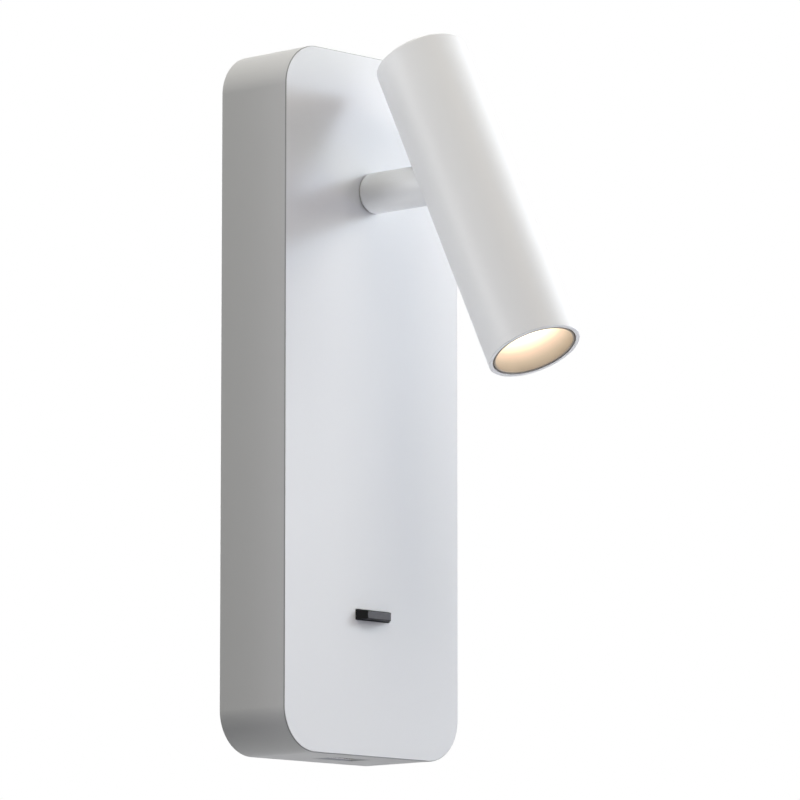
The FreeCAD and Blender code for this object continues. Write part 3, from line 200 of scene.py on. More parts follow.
def softenRings(obj, rings, near=2e-6):
    # rounds edge rings of a turned piece, each given as radius, height, width and steps
    for radius, height, width, steps in rings:
        soften(obj, lambda *ends: all(abs(v.z - height) < near and abs(math.hypot(v.x, v.y) - radius) < near
                                      for v in ends), width, steps)


def spinOutline(name, outline, steps=96):
    # one corner is drawn out along the outline (radius, height), then spun about Z
    bpy.ops.object.select_all(action="DESELECT")
    bpy.ops.mesh.primitive_plane_add(size=0.001, location=(0, 0, 0))
    obj = active(name)
    bpy.ops.object.mode_set(mode="EDIT")
    bpy.ops.mesh.select_mode(type="VERT")
    bpy.ops.mesh.select_all(action="SELECT")
    bpy.ops.mesh.merge(type="CENTER")
    bpy.ops.transform.translate(value=(outline[0][0], 0, outline[0][1]))
    for before, after in zip(outline, outline[1:] + outline[:1]):
        if before[0] == 0 and after[0] == 0:
            continue  # no edge runs along the axis itself
        push((after[0] - before[0], 0, after[1] - before[1]))
    bpy.ops.mesh.select_all(action="SELECT")
    bpy.ops.mesh.remove_doubles(threshold=tiny)
    bpy.ops.mesh.spin(steps=steps, angle=2 * math.pi, center=(0, 0, 0), axis=(0, 0, 1))
    bpy.ops.mesh.select_all(action="SELECT")
    bpy.ops.mesh.remove_doubles(threshold=tiny)
    bpy.ops.mesh.normals_make_consistent(inside=False)
    shut()
    return obj


def threadRings(radius, low, high, pitch, depth):
    # the outline of a thread between two heights, from low to high
    rings = []
    for k in range(max(1, int((high - low) / pitch))):
        z = low + k * pitch
        rings += [(radius - depth, z + pitch / 2), (radius, z + pitch)]
    return rings


def dome(radius, low, rise, steps):
    # the outline of a rounded rim that leads up to a flat top
    turns = [math.radians(90 / steps * k) for k in range(1, steps + 1)]
    return [(radius - rise * (1 - math.cos(t)), low + rise * math.sin(t)) for t in turns]


def applyModifier(obj, kind, **settings):
    only(obj)
    modifier = obj.modifiers.new(kind.lower(), kind)
    for key, value in settings.items():
        setattr(modifier, key, value)
    bpy.ops.object.modifier_apply(modifier=modifier.name)
    return obj


def joined(name, parts):
    only(parts[0])
    for part in parts[1:]:
        part.select_set(True)
    if len(parts) > 1:
        bpy.ops.object.join()
    return active(name)


def mend(doubles):
    # in edit mode, merges the corners that lie together
    bpy.ops.mesh.select_mode(type="VERT")
    bpy.ops.mesh.select_all(action="SELECT")
    bpy.ops.mesh.remove_doubles(threshold=doubles)


def carve(obj, tools, way="DIFFERENCE"):
    # cuts the tools out of the piece, or adds them to it
    for tool in tools:
        applyModifier(obj, "BOOLEAN", operation=way, solver="EXACT", object=tool)
        bpy.data.objects.remove(tool)
    bpy.ops.object.mode_set(mode="EDIT")
    mend(tiny)
    bpy.ops.mesh.dissolve_degenerate(threshold=tiny)
    shut()
    return obj


def smooth(obj, angle=35):
    only(obj)
    bpy.ops.object.shade_smooth_by_angle(angle=math.radians(angle))
    return applyModifier(obj, "WEIGHTED_NORMAL", keep_sharp=True, mode="FACE_AREA")


def moved(obj, place=(0, 0, 0), turn=(0, 0, 0)):
    obj.location = place
    obj.rotation_euler = [math.radians(a) for a in turn]
    return settle(obj)


def copyOf(obj, name):
    # a copy with a mesh of its own
    twin = obj.copy()
    twin.data = obj.data.copy()
    twin.name = name
    scene.collection.objects.link(twin)
    return twin


def setOf(name, one, places, turn=(0, 0, 0)):
    # one fixing is copied to its places, turned alike
    parts = [moved(copyOf(one, "copy"), place, turn) for place in places]
    bpy.data.objects.remove(one)
    return joined(name, parts)


def uprightSlab(name, middle, size, corner, low, high, steps=6):
    # a slab in the plane of the underside, its upright edges rounded
    wide, deep = size[0] / 2, size[1] / 2
    slab = addBox(name, (-wide, middle - deep, low), (wide, middle + deep, high))
    soften(slab, along("z", 0.0001), corner, steps)
    return slab


def layer(name, f, shrink, low, high, corner, steps):
    # a slab with the piece's front outline, drawn in by this much, its corners rounded
    slab = boxAt(name, 0, f["middle"], f["half"] - shrink, f["tall"] - shrink, low, high)
    soften(slab, along("y", 0.00001), corner, steps)
    return slab


def ears(f, corner, steps):
    # two ears made as one bar through the piece, and the tools for their screw holes
    z = f["middle"]
    bar = boxAt("ears", 0, z, f["earHalf"], f["earTall"], f["earFrom"], f["earTo"])
    soften(bar, along("y", 0.001), corner, steps)
    ends = f["earFrom"] - 0.004, f["earTo"] + over
    return bar, [rodAt("hole", f["hole"], side * f["screw"], z, *ends) for side in sides]


# the base's housing

housing = {
    "width": 0.075, "height": 0.212, "depth": 0.027, "corner": 0.0132, "sideWall": 0.002, "frontWall": 0.0024,
    "frontEdge": 0.00035, "rearEdge": 0.0003, "armPlace": 0.06413, "armHole": 0.0059,
    "leverPlace": -0.063812, "leverHalf": (0.00737, 0.00166), "leverCorner": 0.0002,
    "pin": 0.0008, "pinReach": 0.00172, "pinDepth": -0.0257,
    "portPlace": -0.0145, "port": (0.01644, 0.00924), "portCorner": 0.00112,
    "screwPlace": (0.016, -0.00625), "screwHole": 0.00155, "endReach": 0.003,
    "post": 0.0025, "postHole": 0.00125, "postFloor": 0.0006,
    # posts on the inside of the front wall: x, z and height
    "posts": [
        (-0.026, 0.027009, 0.004), (0.026, 0.027009, 0.004), (-0.0136, -0.063812, 0.003),
        (0.0136, -0.063812, 0.003), (-0.0098, -0.0794, 0.01301), (0.0098, -0.0794, 0.01301), (-0.025, -0.051912, 0.005),
    ],
    "peg": 0.0013, "pegBelow": 0.0099, "pegEnd": -0.0221,
    "ribs": (0.0147, 0.0233), "ribDepths": (-0.00945, -0.00745), "ribTall": 0.005,
}


def makeHousing(f):
    front, inner = -f["depth"], -f["depth"] + f["frontWall"]
    half, tall = f["width"] / 2, f["height"] / 2
    body = boxAt("base_housing_shell", 0, 0, half, tall, front, 0)
    soften(body, along("y", f["depth"] / 2), f["corner"], 24)
    edit(body, facing("y", 1), "FACE")
    bpy.ops.mesh.inset(thickness=f["sideWall"])
    push((0, inner, 0))
    pick(body, below("y", front + tiny))
    bevel(f["frontEdge"], 4)
    pick(body, above("y", -tiny))
    bevel(f["rearEdge"], 2)
    shut()
    posts, holes = [], []
    for x, z, height in f["posts"]:
        posts.append(rodAt("post", f["post"], x, z, inner - over, inner + height))
        holes.append(rodAt("hole", f["postHole"], x, z, front + f["postFloor"], inner + height + over, 24))
    # the peg that stops the arm's swivel, and the ribs for the bracket's hooks
    posts.append(rodAt("peg", f["peg"], 0, f["armPlace"] - f["pegBelow"], inner - over, f["pegEnd"], 24))
    (near, far), (rear, fore) = f["ribs"], f["ribDepths"]
    for side in sides:
        posts.append(addBox("rib", (side * near, rear, -tall + over), (side * far, fore, -tall + f["ribTall"])))
    carve(body, posts, "UNION")
    # the arm's hole, the paddle's window with room for its pins, the port's opening and the cover screws' holes
    holes.append(rodAt("hole", f["armHole"], 0, f["armPlace"], front - over, inner + over, 96))
    lever, (wide, high) = f["leverPlace"], f["leverHalf"]
    window = boxAt("window", 0, lever, wide, high, front - over, inner + over)
    soften(window, along("y", 0.002), f["leverCorner"], 4)
    reach, pin, deep = wide + f["pinReach"], f["pin"], f["pinDepth"]
    holes += [window, crossRod("pocket", pin, reach, deep, lever, 24),
              boxAt("wayIn", 0, lever, reach, pin, deep, inner + over),
              uprightSlab("opening", f["portPlace"], f["port"], f["portCorner"], -tall - over, -tall + f["endReach"])]
    x, y = f["screwPlace"]
    for side in sides:
        ends = (side * x, y, tall - f["endReach"]), (side * x, y, tall + over)
        holes.append(addRod("hole", f["screwHole"], *ends, 40))
    carve(body, holes)
    return smooth(body)


# the head: tube, end cap, cone and lens, made upright on the tilt axis, then leaned

lean = {"place": (0, -0.06575, 0.06413), "turn": (-26.1, 0, 0)}


def onHead(obj):
    return moved(obj, lean["place"], lean["turn"])


tubeFacts = {
    "radius": 0.0141, "wall": 0.00125, "top": 0.0430, "mouth": -0.0609,
    "topRound": 0.0008, "mouthRound": 0.0002, "boreRound": 0.0002,
    "slotHalf": 0.0065, "slotLow": -0.0065, "slotHigh": 0.018208, "slotRound": 0.00585,
    "screwHeight": -0.0115, "screwHole": 0.00155, "holeFrom": 0.005,
}


def makeTube(f):
    outer, inner, top, mouth = f["radius"], f["radius"] - f["wall"], f["top"], f["mouth"]
    tube = spinOutline("head_tube_shell", [(inner, mouth), (outer, mouth), (outer, top), (inner, top)], 160)
    softenRings(tube, [(outer, top, f["topRound"], 5), (outer, mouth, f["mouthRound"], 3),
                       (inner, mouth, f["boreRound"], 2)])
    slot = addBox("slot", (-f["slotHalf"], 0, f["slotLow"]), (f["slotHalf"], outer + over, f["slotHigh"]))
    soften(slot, along("y", 0.01), f["slotRound"], 16)
    carve(tube, [slot, rodAt("hole", f["screwHole"], 0, f["screwHeight"], f["holeFrom"], outer + over, 40)])
    return onHead(smooth(tube))


capFacts = {"radius": 0.0128, "top": 0.0430, "thickness": 0.002, "skirt": 0.006, "wall": 0.0012, "edge": 0.0003}


def makeCap(f):
    r, thin = f["radius"], f["radius"] - f["wall"]
    top, under, low = f["top"], f["top"] - f["thickness"], f["top"] - f["skirt"]
    cap = spinOutline("end_cap_disc", [(0, top), (r, top), (r, low), (thin, low), (thin, under), (0, under)], 128)
    softenRings(cap, [(r, top, f["edge"], 3), (r, low, f["edge"], 2)])
    return onHead(smooth(cap))


coneFacts = {
    "mouth": -0.0607, "seat": -0.04755, "mouthRadius": 0.0120, "rimRadius": 0.0125, "throatRadius": 0.0090,
    "boreRadius": 0.0128, "wall": 0.0008, "rimLength": 0.0016, "seatLength": 0.0016, "rimRound": 0.00022, "rings": 12,
}


def makeCone(f):
    mouth, seat, wide, throat, rim = (f[k] for k in ("mouth", "seat", "mouthRadius", "throatRadius", "rimRadius"))
    slope = (wide - throat) / (mouth - seat)
    seatFront = seat - f["seatLength"]
    outline = [(throat, seat), (f["boreRadius"], seat), (f["boreRadius"], seatFront),
               (throat + slope * (seatFront - seat) + f["wall"], seatFront),
               (rim, mouth + f["rimLength"]), (rim, mouth), (wide, mouth)]
    for k in range(1, f["rings"]):
        z = mouth + (seat - mouth) * k / f["rings"]
        outline.append((throat + slope * (z - seat), z))
    cone = spinOutline("mouth_cone_shell", outline, 160)
    softenRings(cone, [(wide, mouth, f["rimRound"], 4), (rim, mouth, f["rimRound"] / 2, 2)])
    return onHead(smooth(cone, 40))


lensFacts = {
    "back": -0.0407, "ledge": -0.0463, "front": -0.0475, "foot": 0.0042, "well": 0.0032, "wellDepth": 0.0018,
    "crown": ((0, 0.0005), (0.5, 0.00035)), "cone": 0.0092, "flange": 0.0102, "land": 0.0012, "sag": 0.0005,
    "bow": 0.0003, "rings": 8,
}


def makeLens(f):
    # a clear light pipe: a well for the LED, a bowed flank, and a shallow dish in its front
    back, ledge, front, foot, wide = (f[k] for k in ("back", "ledge", "front", "foot", "cone"))
    floor, rings = back - f["wellDepth"], f["rings"]
    outline = [(f["well"] * share, floor + rise) for share, rise in f["crown"]]
    outline += [(f["well"], floor), (f["well"], back), (foot, back)]
    for k in range(1, rings):
        t = k / rings
        radius = foot + (wide - foot) * t + f["bow"] * math.sin(math.pi * t)
        outline.append((min(radius, wide), back + (ledge - back) * t))
    outline += [(wide, ledge), (f["flange"], ledge), (f["flange"], front)]
    for k in range(rings + 1):
        t = 1 - k / rings
        outline.append(((f["flange"] - f["land"]) * t, front + f["sag"] * (1 - t ** 2)))
    return onHead(smooth(spinOutline("lens_body", outline)))


# the arm: a round bar with a fork in front and a threaded spigot behind

armFacts = {
    "height": 0.06413, "radius": 0.0062, "shoulder": -0.0273, "pivot": -0.06575, "shoulderRound": 0.00045,
    "forkRoot": 0.0075, "forkTip": 0.0060, "forkSlot": 0.0030, "forkHalf": 0.0050, "rootRounds": (0.0006, 0.0008),
    "spigot": 0.0049, "spigotEnd": -0.0156, "bore": 0.0030, "boltHole": 0.00205, "flat": 0.0043,
    "flatFrom": -0.0232, "flatTo": -0.02115, "thread": 0.00075, "threadDepth": 0.0004, "threadRoom": (0.0004, 0.0003),
    "cut": 0.008,
}


def makeArm(f):
    h, r, pivot, spigot, bore, cut = (f[k] for k in ("height", "radius", "pivot", "spigot", "bore", "cut"))
    tip, root = pivot - f["forkTip"], pivot + f["forkRoot"]
    # the outline is turned lengthways and then laid along Y: the thread's grooves run on the spigot
    length, end = f["shoulder"] - tip, f["spigotEnd"] - tip
    start, stop = f["flatTo"] - tip + f["threadRoom"][0], end - f["threadRoom"][1]
    outline = [(bore, 0), (r, 0), (r, length), (spigot, length), (spigot, start)]
    outline += threadRings(spigot, start, stop, f["thread"], f["threadDepth"]) + [(spigot, end), (bore, end)]
    bar = spinOutline("arm_bar", outline, 128)
    softenRings(bar, [(r, length, f["shoulderRound"], 4)])
    moved(bar, (0, tip, h), (-90, 0, 0))
    # two flats and a slot make the fork, its ends are rounded, and two flats key the stop washer

    def atRoot(a, b):
        return min(a.y, b.y) > root - tiny and abs(a.z - b.z) > 0.01

    tall = r + over
    tools = [addBox("flat", (side * f["forkHalf"], tip - over, h - tall), (side * tall, root, h + tall))
             for side in sides]
    for flat in tools:
        soften(flat, atRoot, f["rootRounds"][0], 5)
    slot = boxAt("slot", 0, h, f["forkSlot"], tall, tip - over, root)
    soften(slot, atRoot, f["rootRounds"][1], 5)
    ends = boxAt("ends", 0, h, cut, cut, tip - over, pivot)
    carve(ends, [crossRod("round", f["forkTip"], cut + over, pivot, h, 96)])
    tools += [slot, ends, crossRod("hole", f["boltHole"], cut, pivot, h, 48)]
    for side in sides:
        tools.append(addBox("key", (side * f["flat"], f["flatFrom"], h - spigot),
                            (side * (spigot + over), f["flatTo"], h + spigot)))
    carve(bar, tools)
    return smooth(bar)


# the switch paddle

paddleFacts = {
    "place": (0, -0.0257, -0.063812), "tilt": 1.8,
    "baseHalf": 0.00725, "tipHalf": 0.00495, "baseHeight": 0.0028, "tipHeight": 0.00245,
    "depth": 0.0013, "reach": 0.00295, "edge": 0.00028, "side": 0.0002, "pin": 0.00075, "pinHalf": 0.00897,
    "tailHalf": 0.003, "tailHeight": 0.0016, "tailLength": 0.007, "tailEdge": 0.0003,
}


def makePaddle(f):
    # made level at the origin: the front face is pulled out and narrowed to the tip
    half, depth, height, tip = f["baseHalf"], f["depth"], f["baseHeight"], -f["depth"] - f["reach"]
    body = boxAt("switch_lever_paddle", 0, 0, half, height / 2, -depth, depth)
    edit(body, facing("y", -1), "FACE")
    push((0, -f["reach"], 0))
    resize((f["tipHalf"] / half, 1, f["tipHeight"] / height), (0, tip, 0))
    pick(body, below("y", tip + tiny))
    bevel(f["edge"], 4)
    pick(body, along("y", 0.001))
    bevel(f["side"], 3)
    shut()
    tail = boxAt("tail", 0, 0, f["tailHalf"], f["tailHeight"] / 2, 0, f["tailLength"])
    soften(tail, above("y", f["tailLength"] - over), f["tailEdge"])
    carve(body, [tail, crossRod("pins", f["pin"], f["pinHalf"], 0, 0, 32)], "UNION")
    return moved(smooth(body, 38), f["place"], (f["tilt"], 0, 0))


# the charging port in the underside: surround, folded shell, tongue and contacts

portFacts = {
    "middle": -0.0145, "face": -0.106, "floor": -0.104, "lip": (0.0162, 0.0090), "lipCorner": 0.0010,
    "flange": (0.0186, 0.0114), "flangeCorner": 0.0022, "flangeTop": -0.1028, "flangeEdge": 0.0002,
    "hole": (0.0132, 0.00582), "holeCorner": 0.00035, "leadIn": 0.00035, "faceEdge": 0.00018, "overlap": 0.0002,
    "shell": (0.0131, 0.00572), "room": 0.00512, "shellCorner": 0.0004, "mouth": -0.1056, "back": -0.0920,
    "sheet": 0.0003, "mouthEdge": 0.00008, "slit": 0.00028, "slitOver": 0.0004,
    "springHalf": 0.0011, "springLength": 0.0050, "springPlace": 0.0032, "springFrom": 0.0035,
    "tongue": (0.0055, 0.00092), "tongueShift": 0.00095, "tongueTip": -0.1052, "tongueEdge": 0.0003,
    "foot": -0.0963, "footHalf": (0.0062, 0.00251), "footEdge": 0.0002,
    "contact": (0.0005, 0.0002, 0.0065), "contactEdges": (0.0003, 0.00006),
    "contactPlaces": (-0.0035, -0.0010, 0.0010, 0.0035),
}


def makeSurround(f):
    y, face, top = f["middle"], f["face"], f["flangeTop"]
    ring = uprightSlab("port_surround_ring", y, f["flange"], f["flangeCorner"], f["floor"], top, 8)
    soften(ring, above("z", top - tiny), f["flangeEdge"], 2)
    lip = uprightSlab("lip", y, f["lip"], f["lipCorner"], face, f["floor"] + f["overlap"], 8)
    soften(lip, below("z", face + tiny), f["faceEdge"])
    carve(ring, [lip], "UNION")
    hole = uprightSlab("hole", y, f["hole"], f["holeCorner"], face - over, top + over)
    # the way in widens towards the face
    (wide, high), lead = f["hole"], f["leadIn"]
    flare = addBox("flare", (-wide / 2, y - high / 2, face - lead), (wide / 2, y + high / 2, face + lead))
    edit(flare, facing("z", -1), "FACE")
    resize((1 + 4 * lead / wide, 1 + 4 * lead / high, 1), (0, y, face - lead))
    shut()
    carve(ring, [hole, flare])
    return smooth(ring)


def makeShell(f):
    # drawn from one slab: its mouth is inset to the sheet's thickness and pushed in
    y, mouth = f["middle"], f["mouth"]
    shell = uprightSlab("port_shell_sheet", y, f["shell"], f["shellCorner"], mouth, f["back"])
    edit(shell, facing("z", -1), "FACE")
    bpy.ops.mesh.inset(thickness=f["sheet"])
    push((0, 0, f["back"] - mouth - f["sheet"]))
    pick(shell, below("z", mouth + tiny))
    bevel(f["mouthEdge"], 2)
    shut()
    # a three-sided slit frees each of the springs that hold the plug
    slits, half, slit = [], f["springHalf"], f["slit"]
    low, high = mouth + f["springFrom"], mouth + f["springFrom"] + f["springLength"]
    for side in sides:
        near, far = (y + side * v for v in (f["room"] / 2 - f["slitOver"], f["shell"][1] / 2 + f["slitOver"]))
        for x in (-f["springPlace"], f["springPlace"]):
            for left in (x - half - slit, x + half):
                slits.append(addBox("slit", (left, near, low), (left + slit, far, high)))
            end = half + slit / 2
            slits.append(addBox("slit", (x - end, near, low - slit), (x + end, far, low + slit / 2)))
    carve(shell, slits)
    return smooth(shell)


def makeTongue(f):
    middle, foot, tip = f["middle"], f["foot"], f["tongueTip"]
    y, (wide, thick) = middle + f["tongueShift"], f["tongue"]
    tongue = addBox("port_tongue_bar", (-wide, y - thick, tip), (wide, y + thick, foot + f["overlap"]))
    soften(tongue, below("z", tip + tiny), f["tongueEdge"], 4)
    wide, thick = f["footHalf"]
    block = addBox("foot", (-wide, middle - thick, foot), (wide, middle + thick, f["back"] - f["sheet"]))
    soften(block, below("z", foot + tiny), f["footEdge"], 2)
    carve(tongue, [block], "UNION")
    return smooth(tongue)


def makeContacts(f):
    # one contact with a rounded leading end, copied to the four places
    half, thick, length = f["contact"]
    face, tip = f["middle"] + f["tongueShift"] - f["tongue"][1], f["foot"] - length
    one = addBox("contact", (-half, face - thick, tip), (half, face, f["foot"]))
    soften(one, lambda a, b: max(a.z, b.z) < tip + tiny and abs(a.y - b.y) > 0.00001, f["contactEdges"][0], 4)
    soften(one, below("y", face - thick + tiny), f["contactEdges"][1], 2)
    return smooth(setOf("port_contacts_four", one, [(x, 0, 0) for x in f["contactPlaces"]]))


# screws, bolt, nuts and washers

panScrew = {"shank": 0.0012, "head": 0.0023, "height": 0.0016}
blockPan = {"shank": 0.0012, "head": 0.0019, "height": 0.0016}
smallPan = {"shank": 0.0009, "head": 0.0015, "height": 0.0009}
recess = {"half": 0.0013, "wide": 0.00025, "deep": 0.0007, "taper": (0.55, 0.8, 1)}  # in the head of panScrew


def makePanScrew(length, f=panScrew):
    # seated at the origin with its shank down -Z: threaded shank, domed head, cross recess that tapers
    r, head, h = f["shank"], f["head"], f["height"]
    size = head / panScrew["head"]
    start = -length + r * 0.3
    outline = [(0, -length), (r * 0.72, -length), (r, start)]
    outline += threadRings(r, start, -0.0004, 0.42 * r, r * 0.16)
    outline += [(r, 0), (head, 0), (head, h * 0.42)] + dome(head, h * 0.42, h * 0.58, 6) + [(0, h)]
    screw = spinOutline("pan", outline, 40)
    half, wide, deep = (recess[k] * size for k in ("half", "wide", "deep"))
    tools = []
    for turn in (0, 90):
        bar = addBox("bar", (-half, -wide, h - deep), (half, wide, h + 0.0005))
        edit(bar, facing("z", -1), "FACE")
        resize(recess["taper"], (0, 0, h - deep))
        shut()
        tools.append(moved(bar, (0, 0, 0), (0, 0, turn)))
    carve(screw, tools)
    return smooth(screw)


grubScrew = {"radius": 0.0015, "socket": 0.0015, "pitch": 0.0005, "threadDepth": 0.00022, "edge": 0.0002}


def makeGrub(length, socketDepth, f=grubScrew):
    # top at the origin, down -Z, with a hexagon socket
    r, edge = f["radius"], f["edge"]
    start = -length + r * 0.3
    outline = [(0, -length), (r * 0.7, -length), (r, start)]
    outline += threadRings(r, start, -0.00035, f["pitch"], f["threadDepth"]) + [(r, -edge), (r - edge, 0), (0, 0)]
    screw = spinOutline("grub", outline, 48)
    carve(screw, [addHex("socket", f["socket"], -socketDepth, over)])
    return smooth(screw)


nutFacts = {
    "lock": {"flat": 0.0140, "height": 0.0030, "hole": 0.00495, "chamfer": 0.0006, "start": (0, -0.02115, 0.06413)},
    "pivot": {"flat": 0.0070, "height": 0.0030, "hole": 0.00205, "chamfer": 0.0004,
              "start": (-0.00805, -0.06575, 0.06413)},
    "pitch": 0.0005, "threadDepth": 0.00018,
}


def makeNut(name, f):
    # a hexagonal bar, turned at both faces: stands on the origin along +Z
    h, hole, c, flat = f["height"], f["hole"], f["chamfer"], f["flat"] / 2
    nut = addHex(name, f["flat"], 0, h)
    corner, face = flat / math.cos(math.radians(30)) + 0.0002, flat - 0.0001
    drop = (corner - face) * 0.55
    outline = [(hole + c, 0), (face, 0), (corner, drop), (corner, h - drop), (face, h), (hole + c, h), (hole, h - c)]
    count = int((h - 2 * c) / nutFacts["pitch"])
    pitch = (h - 2 * c) / count
    for k in range(count):
        z = h - c - (k + 1) * pitch
        outline += [(hole + nutFacts["threadDepth"], z + pitch / 2), (hole, z)]
    carve(nut, [spinOutline("turned", outline)], "INTERSECT")
    return smooth(nut, 30)


def makeLockNut(f):
    return moved(makeNut("lock_nut_hex", f), f["start"], (-90, 0, 0))


def makePivotNut(f):
    return moved(moved(makeNut("pivot_nut_hex", f), turn=(0, 0, 30)), f["start"], (0, 90, 0))


boltFacts = {
    "shank": 0.0020, "start": -0.00885, "seat": 0.00505, "head": 0.0034, "headHeight": 0.0022,
    "socket": 0.0025, "socketDepth": 0.0013, "threadTo": -0.0045, "pitch": 0.0007, "threadDepth": 0.0003,
}


def makeBolt(f):
    # along +Z from its threaded end, then laid along X
    length, thread = f["seat"] - f["start"], f["threadTo"] - f["start"]
    r, head, h = f["shank"], f["head"], f["headHeight"]
    outline = [(0, 0), (r * 0.7, 0), (r, r * 0.3)]
    outline += threadRings(r, r * 0.3, thread, f["pitch"], f["threadDepth"])
    outline += [(r, length), (head, length), (head, length + h * 0.75)] + dome(head, length + h * 0.75, h * 0.25, 4)
    bolt = spinOutline("pivot_bolt_turned", outline + [(0, length + h)], 72)
    carve(bolt, [addHex("socket", f["socket"], length + h - f["socketDepth"], length + h + over)])
    return moved(smooth(bolt), (f["start"], *lean["place"][1:]), (0, 90, 0))


frictionFacts = {"outer": 0.0046, "inner": 0.00205, "thick": 0.0005, "edge": 0.00008}


def makeFriction(f):
    outer, inner, thick = f["outer"], f["inner"], f["thick"]
    ring = spinOutline("ring", [(inner, 0), (outer, 0), (outer, thick), (inner, thick)], 72)
    softenRings(ring, [(outer, 0, f["edge"], 2), (outer, thick, f["edge"], 2)])
    return smooth(ring)


waveFacts = {
    "outer": 0.0076, "inner": 0.00495, "sheet": 0.0003, "rise": 0.0006, "crests": 3, "about": 0.0062,
    "start": (0, -0.0221, 0.06413),
}


def makeWaveWasher(f):
    # a flat spring ring; its three crests are pulled up together with the metal about them
    radii = (f["inner"], (f["inner"] + f["outer"]) / 2, f["outer"])
    ring = spinOutline("wave_washer_ring", [(r, 0) for r in radii] + [(r, f["sheet"]) for r in reversed(radii)])
    for k in range(f["crests"]):
        turn = 2 * math.pi * k / f["crests"]
        way = Vector((math.cos(turn), math.sin(turn)))
        edit(ring, lambda c: c.normalized().xy.dot(way) > 0.9 and abs(c.xy.cross(way)) < 0.0003, "VERT")
        bpy.ops.transform.translate(value=(0, 0, f["rise"]), use_proportional_edit=True, proportional_size=f["about"],
                                    proportional_edit_falloff="SMOOTH", use_proportional_connected=True)
        shut()
    return smooth(moved(ring, f["start"], (-90, 0, 0)), 40)


# inside the base

driverFacts = {
    "middle": 0.0270088, "half": 0.022, "tall": 0.019, "front": -0.0246, "seam": -0.0112, "gap": 0.0004,
    "back": -0.0076, "corner": 0.0016, "edge": 0.0006, "earHalf": 0.030, "earTall": 0.005, "earFrom": -0.0206,
    "earTo": -0.0184, "earEdge": 0.0002, "screw": 0.026, "hole": 0.00125, "gusset": 0.0009, "gussetReach": 0.0030,
    "overlap": 0.0002, "field": 0.0026, "fieldDepth": 0.00025, "fieldCorner": 0.0009,
    "mark": 0.0015, "markDepth": 0.0004, "marks": (0.015, 0.012),
}


def makeDriver(f):
    # a moulded case and its lid, a groove where they meet, and two ears on gussets
    z, half, tall, front, seam, back = (f[k] for k in ("middle", "half", "tall", "front", "seam", "back"))
    case = layer("led_driver_case", f, 0, front, seam, f["corner"], 6)
    soften(case, below("y", front + tiny), f["edge"])
    lid = layer("lid", f, 0, seam + f["gap"], back, f["corner"], 6)
    soften(lid, above("y", back - tiny), f["edge"])
    core = layer("core", f, f["gap"], seam - over, seam + f["gap"] + over, f["corner"] - f["gap"] / 2, 6)
    bar, holes = ears(f, f["corner"], 6)
    soften(bar, lambda a, b: abs(a.y - b.y) < tiny and min(abs(a.x), abs(b.x)) > half + over, f["earEdge"], 2)
    gussets = []
    reach, overlap = f["gussetReach"], f["overlap"]
    for side in sides:
        for end in sides:
            high = z + end * (f["earTall"] - overlap)
            gusset = addBox("gusset", (side * (half - 0.0005), f["earTo"] - 0.0003, high),
                            (side * (half + reach), f["earTo"] + reach, high - end * f["gusset"]))
            # the far upper edge comes down to the ear, which leaves a slope
            edit(gusset, lambda c: abs(c.x) > half + over and c.y > f["earTo"], "VERT")
            bpy.ops.transform.translate(value=(0, overlap - reach, 0))
            shut()
            gussets.append(gusset)
    carve(case, [lid, core, bar] + gussets, "UNION")
    # a shallow field in the lid, and the marks of the pins that pushed it from its mould
    field = boxAt("field", 0, z, half - f["field"], tall - f["field"], back - f["fieldDepth"], back + over)
    soften(field, along("y", 0.0001), f["fieldCorner"], 5)
    holes.append(field)
    wide, high = f["marks"]
    for x, up in ((-wide, high), (wide, high), (-wide, -high), (wide, -high)):
        holes.append(rodAt("mark", f["mark"], x, z + up, back - f["markDepth"], back + over))
    carve(case, holes)
    return smooth(case)


blockFacts = {
    "half": 0.015, "front": -0.0246, "back": -0.0116, "middle": -0.0150096, "tall": 0.007, "shoulder": 0.0032,
    "drop": 0.004, "pitch": 0.009, "entry": 0.0017, "entryDepth": 0.005, "entryPlace": -0.016,
    "well": 0.0019, "wellDepth": 0.004, "foot": 0.00145, "footRoom": 0.0012, "edge": 0.0003,
    "fence": 0.00045, "fenceEdge": 0.0002, "funnel": 0.0003, "funnelInset": 0.00004,
}


def makeBlock(f):
    # the rear is drawn in to shoulders, the poles are parted by grooves, and wells and wire ways are cut in
    z, tall, back, low = f["middle"], f["tall"], f["back"], f["back"] - f["drop"]
    body = boxAt("terminal_block_body", 0, z, f["half"], tall, f["front"], low)
    edit(body, facing("y", 1), "FACE")
    push((0, f["drop"], 0))
    resize((1, 1, (tall - f["shoulder"]) / tall), (0, back, z))
    bpy.ops.mesh.select_all(action="SELECT")
    bevel(f["edge"], 3)
    shut()
    tools = []
    for x in (-f["pitch"] / 2, f["pitch"] / 2):
        for end in sides:
            groove = addBox("groove", (x - f["fence"], low - over, z + end * (f["foot"] + f["footRoom"])),
                            (x + f["fence"], back + over, z + end * (tall + over)))
            soften(groove, below("y", low), f["fenceEdge"], 2)
            tools.append(groove)
        tools.append(rodAt("foot", f["foot"], x, z, f["front"] - over, back + over, 40))
    y, entry, deep = f["entryPlace"], f["entry"], f["funnel"]
    for x in (-f["pitch"], 0, f["pitch"]):
        tools.append(rodAt("well", f["well"], x, z, back - f["wellDepth"], back + over, 40))
        for end in sides:
            face = z + end * tall
            tools.append(addRod("entry", entry, (x, y, face - end * f["entryDepth"]), (x, y, face + end * over), 40))
            mouth = face + end * deep
            funnel = addRod("funnel", entry - f["funnelInset"], (x, y, face - end * deep), (x, y, mouth), 40)
            edit(funnel, facing("z", end), "FACE")
            resize((1 + 2 * deep / entry, 1 + 2 * deep / entry, 1), (x, y, mouth))
            shut()
            tools.append(funnel)
    carve(body, tools)
    return smooth(body)


